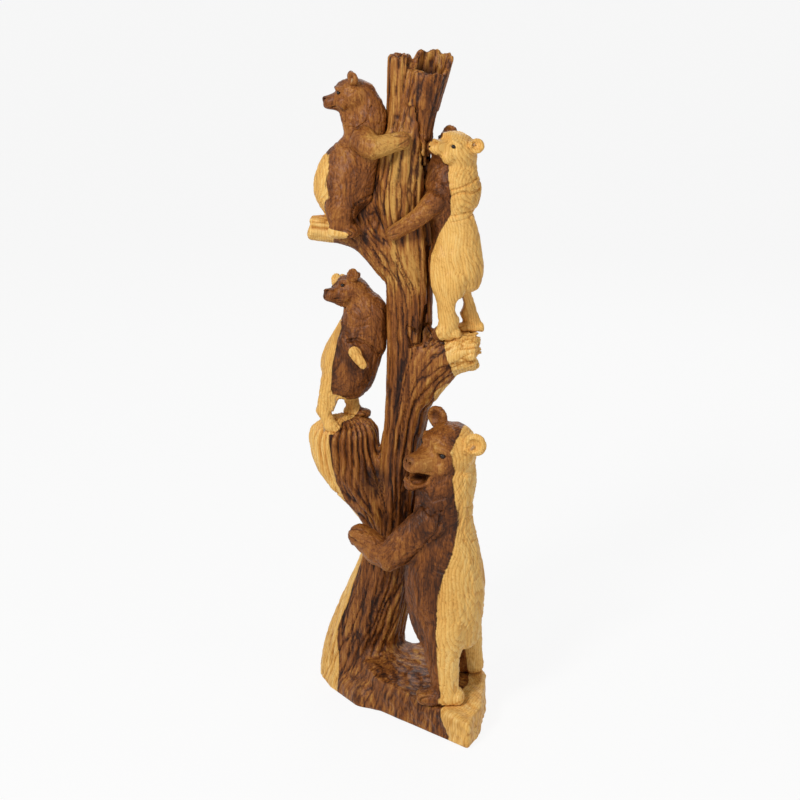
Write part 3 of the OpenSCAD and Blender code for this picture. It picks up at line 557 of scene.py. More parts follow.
def break_ends(field):
    """Breaks the limbs and branches, and opens the cracks in the trunk."""
    reshape_round(field, HOLLOW_ROOT + HOLLOW_AXIS * HOLLOW_LENGTH, 70, break_limbs)
    reshape_round(field, (105, 16, 560), 60, tear_fork)
    reshape_round(field, (-128, 39, 742), 40, split_seat)
    # The crack and knot in the trunk above the fork
    cracks = [((36, 6, 632), (31, 4, 580), 2.6, 4.5), ((31, 4, 580), (16, 4, 574), 4.0, 2.0),
              ((16, 4, 574), (10, 6, 600), 2.0, 1.2), ((24, 3, 596), (10, 6, 606), 2.6, 1.2),
              ((33, 5, 602), (46, 9, 606), 3.0, 1.4)]
    cut_cracks(field, (28, 6, 600), 50, cracks, 6.5)
    # Two clefts that run down from between the top limbs
    clefts = [((20, 10, 935), (27, 5, 888), 1.0, 1.8), ((27, 5, 888), (31, 3, 845), 1.8, 2.4),
              ((31, 3, 845), (37, 3, 800), 2.4, 1.2), ((34, 5, 885), (38, 3, 840), 1.0, 1.6)]
    cut_cracks(field, (28, 6, 865), 90, clefts, 5.0)


def reshape_round(field, centre, reach, change):
    """Lets change(points, distances) give the field new distances round a point."""
    part, world = field.window(centre, reach)
    old = field.values[part].reshape(-1).astype(np.float64)
    new = change(world.reshape(-1, 3), old)
    field.values[part] = new.reshape(world.shape[:3]).astype(np.float32)


def limb_place(points):
    """How far along the hollow limb points lie, how far from its axis, and which way off it."""
    from_root = points - HOLLOW_ROOT
    along = from_root @ HOLLOW_AXIS
    off = from_root - along[:, None] * HOLLOW_AXIS
    return along, lengths(off), off


def break_limbs(points, d):
    """A ragged rim and a rotten wall on the hollow limb, and splinters on the limb beside it."""
    along, radius, off = limb_place(points)
    angle = np.arctan2(off[:, 1], off[:, 0])
    around = np.stack([np.cos(angle), np.sin(angle), 0 * angle], axis=1)
    ragged = 2.2 * noise(around * 9, 3.0) + 2.2 * noise(around * 9 + 50, 1.4)
    # The back wall stands higher than the front lip
    wall = np.maximum(radius - LIMB_R, np.abs(along - WALL_MIDDLE) - WALL_HALF)
    d = soft_min(d, wall, 4)
    behind = off[:, 1] / LIMB_R + 0.55 * np.maximum(off[:, 0], 0) / LIMB_R
    rim = RIM_FRONT + 0.08 * off[:, 0] + RIM_RISE * ease(-0.1, 0.55, behind)
    in_limb = (radius < LIMB_R + 7) & (along > WALL_MIDDLE - WALL_HALF)
    d = np.where(in_limb, soft_max(d, along - rim + ragged, 1.5), d)
    rot = 3.0 * noise(points * (1, 1, 0.35), 6.0)
    throat = np.maximum(radius - HOLLOW_R - 2.5 - rot, HOLLOW_FLOOR - along)
    d = soft_max(d, -throat, 2.0)
    # The solid limb ends in splinters
    tall = SOLID_TOP + 9 * noise(points * (1, 1, 0.05), 6.0) + 0.15 * points[:, 0]
    is_solid = (points[:, 0] < 22) & (radius > 24) & (points[:, 2] > 940)
    return np.where(is_solid, soft_max(d, points[:, 2] - tall, 1.5), d)


def tear_fork(points, d):
    """Tears the fork branch: splinters along the branch behind a ragged edge of bark."""
    torn = points[:, 0] + 7 * noise(points, 11.0) + 4 * noise(points, 5.0)
    splinter = 3.2 * np.abs(noise(points * (0.12, 1, 1), 5.5)) + 2.0 * noise(points, 9.0)
    d = d + ease(*BARK_EDGE, torn) * (1.2 + splinter * ease(60, 120, points[:, 0]))
    end = points[:, 0] - FORK_END - 8 * noise(points * (0.1, 1, 1), 6.0)
    return np.where(points[:, 0] > 90, soft_max(d, end, 1.5), d)


def split_seat(points, d):
    """Ends the seat branch in split layers."""
    layers = np.abs(noise(points * (0.12, 0.3, 1), 13.0))
    d = d + 0.9 * ease(-90, -118, points[:, 0]) * ease(0.1, 0.0, layers)
    end = SEAT_END - points[:, 0] - 3 * noise(points * (0.1, 0.3, 1), 15.0)
    return np.where(points[:, 0] < -105, soft_max(d, end, 1.5), d)


def cut_cracks(field, centre, reach, cracks, depth, waver=2.0, deepest=34):
    """Cuts into the front along lines with a half width at each end, and never further back than deepest."""
    part, world = field.window(centre, reach)
    d = field.values[part]
    wobble = world + waver * noise(world.reshape(-1, 3), 7.0).reshape(world.shape[:3])[..., None]
    behind = world[..., 1] - deepest
    wobble = wobble * (1, 0, 1)
    cut = np.full(d.shape, BAND)
    for start, end, r0, r1 in cracks:
        cut = np.minimum(cut, capsule(wobble, (start[0], 0, start[2]), (end[0], 0, end[2]), r0, r1))
    field.values[part] = soft_max(d, -np.maximum(np.maximum(cut, -(d + depth)), behind), 1.2)


# Flow of the wood and of the fur

FLOW_VOXEL = 7.0


def flow_field(lines, low, high):
    """Unit directions on a coarse grid, mixed from lines (points, half thickness) by nearness."""
    first = np.floor((low - MARGIN) / FLOW_VOXEL).astype(int)
    last = np.ceil((high + MARGIN) / FLOW_VOXEL).astype(int)
    points = grid_points(first, last + 1, FLOW_VOXEL)
    total = np.zeros(points.shape)
    for run, reach in lines:
        run = np.array(run, float)
        for a, b in zip(run, run[1:]):
            distance = np.maximum(capsule(points, a, b, 0), 2.0) / reach
            total += ((b - a) / np.linalg.norm(b - a)) * (distance ** -4.0)[..., None]
    total /= np.linalg.norm(total, axis=-1, keepdims=True) + 1e-12
    return Field(total.astype(np.float32), first, FLOW_VOXEL)


def swirled(flow, cell, amount):
    """The same flow, bent this way and that, as fur lies."""
    points = grid_points(flow.low, flow.low + flow.values.shape[:3], flow.voxel).reshape(-1, 3)
    bend = np.stack([noise(points + 37 * k, cell) for k in range(3)], axis=1).reshape(flow.values.shape)
    values = flow.values + amount * bend
    values = values / (np.linalg.norm(values, axis=-1, keepdims=True) + 1e-9)
    return Field(values.astype(np.float32), flow.low, flow.voxel)


def streaks(points, flow, cell, reach, step):
    """Noise drawn out along the flow, scaled to a spread of 1."""
    total = noise(points, cell)
    for way in (1, -1):
        at = points.copy()
        for _ in range(int(reach / step)):
            at = at + way * step * flow.sample(at)
            total = total + noise(at, cell)
    return (total - total.mean()) / total.std()


def bear_lines(name, bear):
    """Lines that the fur lies along: nose to nape, neck to hips, and out along each limb."""
    torso = node_mesh(name + "_torso")[0]
    heights = torso[:, 2]
    share = (heights - heights.min()) / (heights.max() - heights.min())
    spine = [torso[np.abs(share - s) < 0.13].mean(0) for s in (0.9, 0.65, 0.4, 0.15)]
    axes = head_axes(bear)
    head = np.array(bear["head"])
    nose = head + axes[0] * (bear["r"] * MUZZLE_ROOT + bear["muzzle"])
    lines = [([nose, head, head - axes[0] * bear["r"]], bear["r"] * 0.8), (spine, bear["r"])]
    middle = torso.mean(0)
    for limb in LIMBS:
        points = node_mesh(name + "_" + limb)[0]
        away = lengths(points - middle)
        order = np.argsort(away)
        share = max(4, len(points) // 8)
        start = points[order[:share]].mean(0)
        finish = points[order[-share:]].mean(0)
        lines.append(([start, points.mean(0), finish], bear["r"] * 0.5))
    return lines


# From field to pieces

def point_normals(points, quads):
    across = np.cross(points[quads[:, 2]] - points[quads[:, 0]], points[quads[:, 3]] - points[quads[:, 1]])
    normals = np.zeros_like(points)
    for axis in range(3):
        for corner in range(4):
            normals[:, axis] += np.bincount(quads[:, corner], across[:, axis], len(points))
    return normals / (np.linalg.norm(normals, axis=1, keepdims=True) + 1e-12)


def nearest_block(points, own):
    """The numbers of the nearest block and of the next, and how much further the next is."""
    distances = np.stack([field.sample(points) for field in own.values()])
    order = np.argsort(distances, axis=0)
    first = np.take_along_axis(distances, order[:1], 0)[0]
    second = np.take_along_axis(distances, order[1:2], 0)[0]
    return order[0], order[1], second - first


def clean_labels(labels, quads, count):
    """Gives islands of a few faces to the block round them."""
    for _ in range(3):
        owners = np.full(count, -1)
        owners[quads.ravel()] = np.repeat(labels, 4)
        votes = np.stack([owners[quads[:, k]] for k in range(4)] + [labels])
        votes.sort(axis=0)
        labels = votes[2]
    return labels


def log_radius(points):
    """Distance from the log's pith, and how far outside the dark heart a point lies."""
    z = points[:, 2]
    wander = 7 * noise(points * (1, 1, 0.3), 60.0)
    wander = wander + 2.5 * noise(points * (1, 1, 0.35), 20.0)
    dx = points[:, 0] - np.interp(z, *PITH_X)
    dy = points[:, 1] - np.interp(z, *PITH_Y)
    radius = np.hypot(dx, dy)
    side = ease(-0.5, 0.5, dx / (radius + 1e-6))
    heart = np.interp(z, *HEART_LEFT) * (1 - side) + np.interp(z, *HEART_RIGHT) * side
    heart = heart + spots(points, HEART_SWINGS, 0.4, 1.0)
    bends = 7 * noise(points * (1, 1, 0.8), 26.0) + 0.05 * z
    return radius + 0.5 * wander + bends, radius - heart + wander


def spots(points, places, full=0.3, gone=1.25):
    """The strengths of round places added up, each fading from full to gone, in shares of its reach."""
    total = np.zeros(len(points))
    for centre, reach, strength in places:
        total += strength * (1 - ease(full * reach, gone * reach, lengths(points - centre)))
    return total


def boundary_caps(quads):
    """Loops of the open edges of a patch, each as a list of point numbers."""
    edges = np.concatenate([quads[:, [k, (k + 1) % 4]] for k in range(4)])
    keys = set(map(tuple, edges))
    open_edges = [(a, b) for a, b in keys if (b, a) not in keys]
    after = {}
    for a, b in open_edges:
        after.setdefault(a, []).append(b)
    loops = []
    while after:
        start = next(iter(after))
        loop = [start]
        while True:
            following = after.get(loop[-1])
            if not following:
                break
            step = following.pop()
            if not following:
                del after[loop[-1]]
            if step == start:
                break
            loop.append(step)
        if len(loop) > 2:
            loops.append(loop)
    return loops


def placed(name, data):
    """A new object in the scene."""
    thing = bpy.data.objects.new(name, data)
    bpy.context.scene.collection.objects.link(thing)
    return thing


def make_piece(name, points, quads, normals, marks):
    """One closed piece: a patch of the skin, with its open edges capped inside the wood."""
    used, patch = packed(quads, len(points))
    at = points[used]
    normal = normals[used]
    caps = []
    extra_points, extra_from = [], []
    for loop in boundary_caps(patch):
        first = len(used) + len(extra_points)
        ring = at[loop]
        extra_points.extend(ring)
        extra_from.extend(loop)
        centre = ring.mean(0) - normal[loop].mean(0) * 1.0
        extra_points.append(centre)
        extra_from.append(loop[0])
        size = len(loop)
        caps.extend((first + (k + 1) % size, first + k, first + size) for k in range(size))
    if extra_points:
        at = np.concatenate([at, np.array(extra_points)])
        normal = np.concatenate([normal, np.zeros((len(extra_points), 3))])
    mesh = bpy.data.meshes.new(name)
    mesh.from_pydata((at * MM).tolist(), [], patch.tolist() + caps)
    mesh.polygons.foreach_set("use_smooth", [True] * len(mesh.polygons))
    for mark, values in marks.items():
        kept = values[used]
        if extra_from:
            kept = np.concatenate([kept, kept[extra_from]])
        layer = mesh.attributes.new(mark, "FLOAT", "POINT")
        layer.data.foreach_set("value", kept.astype(np.float32))
    mesh.normals_split_custom_set_from_vertices(normal.tolist())
    return placed(name, mesh)


def split(points, before, quads, own, marks, material):
    """Cuts a finished skin into one piece for each block, hangs each on the root and hides the block."""
    normals = point_normals(points, quads)
    labels, _, _ = nearest_block(before[quads].mean(1), own)
    labels = clean_labels(labels, quads, len(points))
    for index, node in enumerate(own):
        patch = quads[labels == index]
        piece = make_piece("carved_" + node, points, patch, normals, marks)
        piece.data.materials.append(material)
        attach(piece, "root")
        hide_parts(node)


# Materials

def wire(tree, kind, inputs=(), **settings):
    """Adds a node. Inputs are (socket, value or another node's output)."""
    node = tree.nodes.new(kind)
    for key, value in settings.items():
        setattr(node, key, value)
    for socket, value in inputs:
        if isinstance(value, bpy.types.NodeSocket):
            tree.links.new(value, node.inputs[socket])
        else:
            node.inputs[socket].default_value = value
    return node


def maths(tree, operation, a, b=0.0, c=0.0):
    return wire(tree, "ShaderNodeMath", [(0, a), (1, b), (2, c)], operation=operation).outputs[0]


def scaled(tree, value, by, plus):
    return maths(tree, "MULTIPLY_ADD", value, by, plus)


def ramp(tree, value, stops):
    node = wire(tree, "ShaderNodeValToRGB", [(0, value)])
    elements = node.color_ramp.elements
    while len(elements) < len(stops):
        elements.new(0.5)
    for element, (place, colour) in zip(elements, stops):
        element.position = place
        element.color = (*colour, 1)
    return node.outputs[0]


def blend_colours(tree, share, a, b, kind="MIX"):
    inputs = [(0, share), (6, a), (7, b)]
    return wire(tree, "ShaderNodeMix", inputs, data_type="RGBA", blend_type=kind).outputs[2]


def new_material(name):
    material = bpy.data.materials.new(name)
    material.use_nodes = True
    tree = material.node_tree
    return material, tree, tree.nodes["Principled BSDF"]


def stretched_noise(tree, place, scale, detail, roughness=0.6):
    turned = wire(tree, "ShaderNodeMapping", [("Vector", place), ("Scale", scale)])
    inputs = [("Vector", turned.outputs[0]), ("Scale", 1.0), ("Detail", detail), ("Roughness", roughness)]
    return wire(tree, "ShaderNodeTexNoise", inputs).outputs["Fac"]


# From dark to light: the heartwood and the pale outer wood
HEART = [(0.0, (0.030, 0.008, 0.002)), (0.24, (0.108, 0.031, 0.006)), (0.45, (0.234, 0.073, 0.014)),
         (0.64, (0.345, 0.128, 0.025)), (0.82, (0.450, 0.198, 0.042)), (1.0, (0.585, 0.310, 0.075))]
SAP = [(0.0, (0.52, 0.25, 0.055)), (0.35, (0.74, 0.38, 0.088)),
       (0.65, (0.86, 0.51, 0.140)), (1.0, (0.93, 0.65, 0.26))]


def wood_material(name, grain_share):
    """Dark heart and pale outer wood, with growth rings, streaks, painted shade and painted highlights, by
    the marks on the mesh.
    """
    material, tree, shader = new_material(name)
    place = wire(tree, "ShaderNodeTexCoord").outputs["Object"]
    marks = {mark: wire(tree, "ShaderNodeAttribute", attribute_name=mark).outputs["Fac"]
             for mark in ("ring", "sap", "groove", "tone")}
    streak = stretched_noise(tree, place, (210, 210, 9), 5.0, 0.62)
    fine = stretched_noise(tree, place, (900, 900, 45), 2.0)
    cloud = stretched_noise(tree, place, (16, 16, 5), 2.0)
    # Growth rings: a saw tooth across the radius that rises slowly and drops sharply
    wavy = scaled(tree, cloud, 5.0, marks["ring"])
    year = maths(tree, "FRACT", maths(tree, "MULTIPLY", wavy, 0.27))
    late = maths(tree, "POWER", year, 3.5)
    shade = scaled(tree, streak, 1.4 * grain_share, -0.7 * grain_share)
    shade = scaled(tree, fine, 0.5, maths(tree, "ADD", shade, -0.25))
    shade = scaled(tree, cloud, 0.8, maths(tree, "ADD", shade, -0.4))
    # The heart darkens towards its border
    border = wire(tree, "ShaderNodeMapRange", [(0, marks["sap"]), (1, -12.0), (2, -1.0)]).outputs[0]
    dark_shade = scaled(tree, shade, 1.2, 0.42)
    dark_shade = scaled(tree, marks["tone"], 0.34, dark_shade)
    dark_shade = scaled(tree, late, -0.12, dark_shade)
    dark_shade = scaled(tree, border, -0.16, dark_shade)
    heart = ramp(tree, dark_shade, HEART)
    pale_shade = scaled(tree, marks["tone"], 0.16, maths(tree, "ADD", shade, 0.62))
    sap = ramp(tree, scaled(tree, late, -0.5, pale_shade), SAP)
    edge = scaled(tree, maths(tree, "SUBTRACT", streak, 0.5), 3.0, marks["sap"])
    border_steps = [(0, edge), (1, -0.8), (2, 0.8)]
    share = wire(tree, "ShaderNodeMapRange", border_steps, interpolation_type="SMOOTHSTEP").outputs[0]
    colour = blend_colours(tree, share, heart, sap)
    # The groove mark darkens the colour towards these painted shade colours
    shadow = blend_colours(tree, share, (0.13, 0.09, 0.07, 1), (0.56, 0.38, 0.21, 1))
    deep = blend_colours(tree, 1.0, colour, shadow, "MULTIPLY")
    colour = blend_colours(tree, marks["groove"], colour, deep)
    tree.links.new(colour, shader.inputs["Base Color"])
    rough = scaled(tree, fine, 0.24, 0.32)
    rough = scaled(tree, marks["groove"], 0.2, rough)
    tree.links.new(rough, shader.inputs["Roughness"])
    grain = scaled(tree, late, -0.35, scaled(tree, streak, 0.7, fine))
    bump = wire(tree, "ShaderNodeBump", [("Strength", 0.35), ("Distance", 0.0006), ("Height", grain)])
    tree.links.new(bump.outputs[0], shader.inputs["Normal"])
    shader.inputs["Specular IOR Level"].default_value = 0.22
    return material


def streaked_material(name, scale, detail, stops):
    """A material with one run of colours, its node tree and shader, and the noise that the colours follow."""
    material, tree, shader = new_material(name)
    place = wire(tree, "ShaderNodeTexCoord").outputs["Object"]
    streak = stretched_noise(tree, place, scale, detail)
    tree.links.new(ramp(tree, streak, stops), shader.inputs["Base Color"])
    return material, tree, shader, streak


def eye_material():
    stops = [(0.3, (0.004, 0.002, 0.001)), (0.8, (0.03, 0.012, 0.005))]
    material, _, shader, _ = streaked_material("eye_bead", (700, 700, 700), 2.0, stops)
    shader.inputs["Roughness"].default_value = 0.22
    shader.inputs["Specular IOR Level"].default_value = 0.3
    return material


def dowel_material():
    stops = [(0.25, (0.40, 0.22, 0.09)), (0.75, (0.62, 0.40, 0.19))]
    material, tree, shader, streak = streaked_material("dowel_wood", (260, 260, 30), 4.0, stops)
    rough = scaled(tree, streak, 0.2, 0.5)
    tree.links.new(rough, shader.inputs["Roughness"])
    return material


# The tree

# How far creases are eased, below the top limbs and between them, and edges rounded
TREE_EASE = 8.0
CROWN_EASE = 2.5
TREE_ROUND = 2.2
# The heights between which the top limbs part
CROWN_FROM = (885, 915)


def shape_tree():
    """The field of the tree with its breaks, and each block's own field."""
    voxel = TREE_VOXEL
    whole, own = joined(TREE_NODES, ["tree_dowels"], voxel)
    values = whole.values
    height = (np.arange(values.shape[2]) + whole.low[2]) * voxel
    eased = np.minimum(values, blurred(values, TREE_EASE / voxel))
    tight = np.minimum(values, blurred(values, CROWN_EASE / voxel))
    values = eased + (tight - eased) * ease(*CROWN_FROM, height).astype(np.float32)
    whole.values = blurred(values, TREE_ROUND / voxel)
    root_flare(whole)
    fill_forms(whole, "tree")
    break_ends(whole)
    return whole, own


def root_flare(field):
    """Runs the trunk's foot out into the ground in front of it."""
    part, world = field.window((-50, 50, 30), 110)
    d = field.values[part]
    roots = [((-78, 92, 0), (-50, 30, 6), 34, 25), ((-40, 80, 40), (-14, 36, 34), 34, 18)]
    for start, end, r0, r1 in roots:
        d = soft_min(d, capsule(world, start, end, r0, r1), 22)
    field.values[part] = d


# Streaks as wide as a cell are drawn out along the flow this far each way, in steps
BARK_RUNS = dict(cell=6.5, reach=162, step=6)
BARK_LINES = dict(cell=3.4, reach=60, step=4)


def ridged(runs, power):
    """0 along the grooves between runs, and about 1 on the ridges."""
    return np.minimum(np.abs(runs), 1.3) ** power


def finish_tree(whole, own, others, material):
    """Cuts bark, flutes and gouge marks into the tree's skin, and splits it into pieces."""
    points, quads = skin(whole)
    before = points.copy()
    normals = point_normals(points, quads)
    index, _, _ = nearest_block(points, own)
    names = list(own)
    on = {name: (index == names.index(name)).astype(float) for name in names}
    flow = flow_field(TREE_LINES, points.min(0), points.max(0))
    ridge = ridged(streaks(points, flow, **BARK_RUNS), 0.8)
    fine_ridge = ridged(streaks(points, flow, **BARK_LINES), 0.8)
    ground = smooth_mark(on["ground_block"], quads, 24)
    flute = smooth_mark(on["stub_branch"], quads, 16) * ease(*FLUTES_FROM, points[:, 2])
    top = smooth_mark(np.maximum(on["hollow_limb"], on["solid_limb"]), quads, 16)
    turn = np.arctan2(points[:, 1] - STUB_AT[1], points[:, 0] - STUB_AT[0])
    fluted = np.abs(np.sin(STUB_FLUTES / 2 * turn + 0.8 * noise(points, 26.0))) ** 0.8
    ridge = ridge + (1.25 * fluted - ridge) * flute * ease(110, 75, points[:, 1])
    # Runs of bark are deep on the trunk, deeper on the stub, shallow on the limbs and none on the ground
    depth = 2.5 * (1 - ground) + 2.0 * flute - 0.9 * top
    move = depth * (ridge - 0.62) + 0.75 * (1 - 0.6 * ground) * (fine_ridge - 0.6)
    gouge = scoops(points + 3 * noise(points, 30.0)[:, None], 17.0)
    move += ground * (2.6 * ease(0.15, 0.8, gouge) - 1.6 + 2.6 * noise(points, 34.0))
    # The underside stays flat
    move *= 1 - ease(6.0, 0.5, points[:, 2])
    points = points + normals * move[:, None]
    points[:, 2] = np.maximum(points[:, 2], 0)
    # Painted shade in the bark's grooves; the ground is also darker along the rims between its gouges
    groove = ease(0.55, 0.05, ridge) * (0.9 - 0.6 * ground) + 0.35 * ease(0.4, 0.05, fine_ridge)
    groove += ground * 0.3 * ease(0.62, 0.9, gouge)
    # Painted shade inside the hollow and on the shaded spots
    inside = throat_share(before)
    groove = np.maximum(groove + spots(points, SHADE_SPOTS), inside)
    # Painted highlight: ridges are lighter and the grooves between them darker
    ridge_highlight = 0.75 * (ridge - 0.62) + 0.35 * (fine_ridge - 0.6)
    marks = wood_marks(points, before, whole, groove, ridge_highlight, others)
    split(points, before, quads, own, marks, material)


def throat_share(points):
    """1 inside the rotten hollow, where its painted shade lies, 0 outside."""
    along, radius, _ = limb_place(points)
    return ease(HOLLOW_R + 5, HOLLOW_R + 1.5, radius) * ease(*DARK_TO, along) * ease(*DARK_FROM, along)


def smooth_mark(mark, quads, passes):
    """Spreads a mark over its neighbours on the skin."""
    count = np.bincount(quads.ravel(), minlength=len(mark))
    for _ in range(passes):
        face = mark[quads].mean(1)
        mark = np.bincount(quads.ravel(), np.repeat(face, 4), len(mark)) / np.maximum(count, 1)
    return mark


def wood_marks(points, before, whole, groove, ridge_highlight, others):
    """What the wood material reads: ring radius, distance outside the heart, darkness with painted shade, and
    tone with painted highlights.
    """
    eased = Field(blurred(whole.values, 4.0 / whole.voxel), whole.low, whole.voxel)
    hollow = eased.sample(before)
    # Painted shade in creases
    crease = ease(-0.5, -2.6, hollow)
    # Painted contact shadow where another carving comes close
    touch = np.zeros(len(points))
    for other in others:
        touch = np.maximum(touch, ease(3.2, 0.3, other.sample(points)))
    ring, sap = log_radius(points)
    dark = np.clip(np.maximum(groove, 0.75 * touch) + 0.55 * crease, 0, 1)
    # Painted highlight: ridges and raised forms are lighter
    tone = spots(points, TONES) + ridge_highlight + 0.3 * ease(0.3, 1.6, hollow)
    return {"ring": ring, "sap": sap, "groove": dark, "tone": tone}


# The bears

# Marks on a bear are sized for a cub's head radius, and grow with the head
CUB_HEAD_R = 27.0


def shape_bear(name):
    """The field of a bear with its face and folds, and each block's own field."""
    bear = BEARS[name]
    is_mother = name == "mother"
    build = MOTHER_BUILD if is_mother else CUB_BUILD
    voxel = build["voxel"]
    names = [name + "_" + part for part in BEAR_PARTS] + (["mother_jaw"] if is_mother else [])
    fillers = [name + "_eyes", "mother_dowels" if is_mother else "cub_dowels", "ear_dowels"]
    whole, own = joined(names, fillers, voxel)
    values = whole.values
    values = np.minimum(values, blurred(values, build["ease"] / voxel))
    whole.values = blurred(values, build["round"] / voxel)
    fill_forms(whole, name)
    carve_face(whole, bear, build, is_mother)
    cut_folds(whole, name)
    return whole, own


def toes(points, name, bear):
    """How deep the grooves between toes and fingers are, by the ends of the limbs."""
    depth = np.zeros(len(points))
    for limb in LEGS:
        depth = np.maximum(depth, toe_grooves(points, node_mesh(name + "_" + limb)[0], bear))
    torso = node_mesh(name + "_torso")[0].mean(0)
    for limb in ARMS:
        depth = np.maximum(depth, finger_grooves(points, node_mesh(name + "_" + limb)[0], torso, bear))
    return depth


def toe_grooves(points, leg, bear):
    """Grooves across the front of a foot, a quarter of its width apart."""
    big = bear["r"] / CUB_HEAD_R
    facing = math.radians(bear["facing"])
    ahead = np.array((math.cos(facing), math.sin(facing), 0))
    side = np.array((-ahead[1], ahead[0], 0))
    foot = leg[leg[:, 2] < leg[:, 2].min() + 16 * big]
    reach = (foot @ ahead).max()
    middle = foot[foot @ ahead > reach - 14 * big].mean(0)
    width = np.ptp(foot @ side)
    across = ((points - middle) @ side) / width
    close = ease(17 * big, 9 * big, reach - points @ ahead)
    close = close * ease(20 * big, 12 * big, points[:, 2] - foot[:, 2].min())
    close *= ease(0.75, 0.55, np.abs(across))
    wave = np.abs(np.cos(math.pi * 4 * across))
    return close * ease(0.45, 0.0, wave)


def finger_grooves(points, arm, torso, bear):
    """Grooves along the end of an arm, spread round it."""
    big = bear["r"] / CUB_HEAD_R
    order = np.argsort(lengths(arm - torso))
    tip = arm[order[-max(3, len(arm) // 20):]].mean(0)
    root = arm[order[-len(arm) // 3:]].mean(0)
    axis = (tip - root) / np.linalg.norm(tip - root)
    along = (points - tip) @ axis
    off = points - tip - along[:, None] * axis
    aside = np.cross(axis, (0, 0, 1))
    upward = np.cross(aside, axis)
    angle = np.arctan2(off @ upward, off @ aside)
    close = ease(-15 * big, -8 * big, along) * ease(22 * big, 14 * big, lengths(off))
    wave = np.abs(np.cos(3.5 * angle))
    return close * ease(0.4, 0.0, wave)


def finish_bear(name, whole, own, others, material):
    """Cuts fur, wrinkles, toes and seams into a bear's skin, and splits it into pieces."""
    bear = BEARS[name]
    is_mother = name == "mother"
    big = bear["r"] / CUB_HEAD_R
    points, quads = skin(whole)
    before = points.copy()
    normals = point_normals(points, quads)
    index, beside, gap = nearest_block(points, own)
    flow = flow_field(bear_lines(name, bear), points.min(0), points.max(0))
    flow = swirled(flow, 30.0 * big ** 0.5, 1.3)
    fur_ridge = ridged(streaks(points, flow, 2.5 * big ** 0.4, 18, 2.6), 0.8)
    fold_ridge = ridged(streaks(points, flow, 9.0 * big ** 0.5, 30, 5), 0.9)
    bends = noise(points, 14.0 * big) + 0.5 * noise(points, 6.0 * big)
    near_joint = ease(30 * big, 6 * big, gap)
    wrinkle = np.abs(np.sin(gap / (3.2 * big) + 1.6 * bends)) * near_joint
    names = list(own)
    face_nodes = [names.index(name + "_head"), names.index(name + "_ears")]
    if is_mother:
        face_nodes.append(names.index("mother_jaw"))
    face = smooth_mark(np.isin(index, face_nodes).astype(float), quads, 16)
    arm_nodes = [names.index(name + "_" + arm) for arm in ARMS]
    at_arm = np.isin(index, arm_nodes) | np.isin(beside, arm_nodes)
    seam = smooth_mark(at_arm * ease(3.2 * big ** 0.5, 0.6, gap), quads, 2)
    local = in_head(points, bear)
    muzzle = ease(0.75, 1.0, local[:, 0]) * face
    eyes = np.zeros(len(points))
    for side in SIDES:
        from_eye = lengths(local - mirrored(EYE_AT, side))
        eyes = np.maximum(eyes, ease(0.42, 0.2, from_eye) * face)
    # The fur lies calm on the muzzle and round the eyes
    calm = (1 - 0.8 * muzzle) * (1 - eyes)
    split_toes = toes(points, name, bear)
    move = 0.62 * big ** 0.5 * calm * (fur_ridge - 0.62)
    move += 0.7 * big ** 0.4 * calm * (1 - 0.65 * face) * (fold_ridge - 0.62)
    move += 0.35 * calm * (1 - 0.8 * face) * (wrinkle - 0.5) * near_joint
    move -= 1.5 * big * split_toes + 0.8 * seam
    points = points + normals * move[:, None]
    # Painted shade in the fur's grooves and folds, between the toes and along the arms' seams
    groove = 0.42 * ease(0.30, 0.03, fur_ridge) * calm
    groove = groove + 0.12 * ease(0.25, 0.03, fold_ridge) * calm * (1 - face)
    groove = np.maximum(groove, np.maximum(0.8 * split_toes, 0.5 * seam))
    from_nose = (local - (muzzle_tip(bear) + 0.06, 0, -0.08)) * (1, 0.85, 1)
    nose = ease(0.28, 0.16, lengths(from_nose)) * face
    groove = np.maximum(groove, 0.35 * nose)
    # Painted shade inside the open mouth
    if is_mother:
        mouth = ellipsoid(local, (1.18, 0, -0.64), (0.5, 0.36, 0.26))
        groove = np.maximum(groove, 0.9 * ease(0.05, -0.05, mouth) * face)
    # Painted shade on the shaded spots
    groove = groove + spots(points, SHADE_SPOTS) * 0.7
    # Painted highlight: ridges of the fur and folds are lighter and the grooves between them darker
    ridge_highlight = 0.35 * (fur_ridge - 0.6) + 0.3 * (fold_ridge - 0.6)
    marks = wood_marks(points, before, whole, groove, ridge_highlight, others)
    split(points, before, quads, own, marks, material)


# Everything together

BARK_GRAIN = 1.0
FUR_GRAIN = 0.45
tree_wood = wood_material("tree_wood", BARK_GRAIN)
bear_wood = wood_material("bear_wood", FUR_GRAIN)
shapes = {"tree": shape_tree()}
for bear_name in BEARS:
    shapes[bear_name] = shape_bear(bear_name)
# Painted contact shadow: the tree darkens where the bears touch it, and each bear where it touches the tree
tree_field, tree_blocks = shapes.pop("tree")
finish_tree(tree_field, tree_blocks, [field for field, _ in shapes.values()], tree_wood)
for bear_name, (bear_field, bear_blocks) in shapes.items():
    finish_bear(bear_name, bear_field, bear_blocks, [tree_field], bear_wood)

bead = eye_material()
peg_wood = dowel_material()
for node_name, node_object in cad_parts.items():
    if node_name.endswith("_eyes"):
        node_object.data.materials.clear()
        node_object.data.materials.append(bead)
    elif node_name.endswith("_dowels"):
        node_object.data.materials.clear()
        node_object.data.materials.append(peg_wood)

# Floor, light and camera

FLOOR_HALF = 40.0
floor_mesh = bpy.data.meshes.new("studio_floor")
corners = [(x * FLOOR_HALF, y * FLOOR_HALF, 0) for x, y in ((-1, -1), (1, -1), (1, 1), (-1, 1))]
floor_mesh.from_pydata(corners, [], [(0, 1, 2, 3)])
floor = placed("studio_floor", floor_mesh)


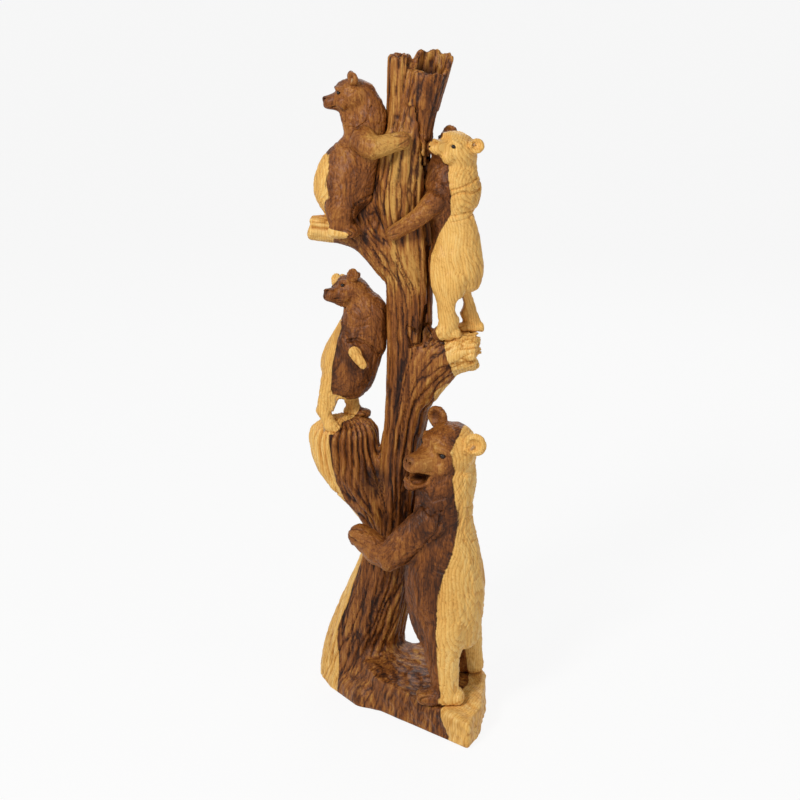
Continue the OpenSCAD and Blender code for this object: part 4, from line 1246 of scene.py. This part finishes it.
def seen_rays(tree):
    """1 for camera, glossy and transmission rays."""
    path = wire(tree, "ShaderNodeLightPath").outputs
    seen = maths(tree, "MAXIMUM", path["Is Camera Ray"], path["Is Glossy Ray"])
    return maths(tree, "MAXIMUM", seen, path["Is Transmission Ray"])


floor_material, floor_tree, floor_shader = new_material("studio_floor")
floor_shader.inputs["Base Color"].default_value = (0.86, 0.86, 0.85, 1)
floor_shader.inputs["Roughness"].default_value = 0.9
glow = wire(floor_tree, "ShaderNodeEmission", [("Color", (1, 1, 1, 1)), ("Strength", 1.0)])
# How white the floor is for those rays; the rest of it keeps the shadow
FLOOR_WHITE = 0.9
white_share = maths(floor_tree, "MULTIPLY", seen_rays(floor_tree), FLOOR_WHITE)
floor_parts = [(0, white_share), (1, floor_shader.outputs[0]), (2, glow.outputs[0])]
floor_mix = wire(floor_tree, "ShaderNodeMixShader", floor_parts)
floor_tree.links.new(floor_mix.outputs[0], floor_tree.nodes["Material Output"].inputs["Surface"])
floor_mesh.materials.append(floor_material)

SKY_LIGHT = 0.23
world = bpy.data.worlds.new("studio")
bpy.context.scene.world = world
world.use_nodes = True
world_tree = world.node_tree
dim = world_tree.nodes["Background"]
dim.inputs["Color"].default_value = (1, 1, 1, 1)
dim.inputs["Strength"].default_value = SKY_LIGHT
bright = wire(world_tree, "ShaderNodeBackground", [("Color", (1, 1, 1, 1)), ("Strength", 1.0)])
sky_parts = [(0, seen_rays(world_tree)), (1, dim.outputs[0]), (2, bright.outputs[0])]
sky = wire(world_tree, "ShaderNodeMixShader", sky_parts)
world_tree.links.new(sky.outputs[0], world_tree.nodes["World Output"].inputs["Surface"])


AIM = Vector((0, 0, 0.5))


def area_light(name, place, size, power):
    """A round lamp that faces the middle of the carving."""
    lamp = bpy.data.lights.new(name, "AREA")
    lamp.shape = "DISK"
    lamp.size = size
    lamp.energy = power
    light = placed(name, lamp)
    light.location = place
    light.rotation_euler = (AIM - Vector(place)).to_track_quat("-Z", "Y").to_euler()


area_light("key_light", (-1.5, -2.3, 2.5), 0.8, 74)
area_light("fill_light", (2.2, -1.8, 1.4), 1.6, 14)
area_light("back_light", (0.6, 2.6, 2.2), 1.6, 18)

CAMERA_PLACE = (0, -2.340, 1.150)
CAMERA_PITCH = math.radians(15.63)
lens = bpy.data.cameras.new("photo_camera")
lens.lens = 74.7
lens.sensor_width = 36
camera = placed("photo_camera", lens)
camera.location = CAMERA_PLACE
camera.rotation_euler = (math.pi / 2 - CAMERA_PITCH, 0, 0)
bpy.context.scene.camera = camera
bpy.context.scene.view_settings.view_transform = "Standard"
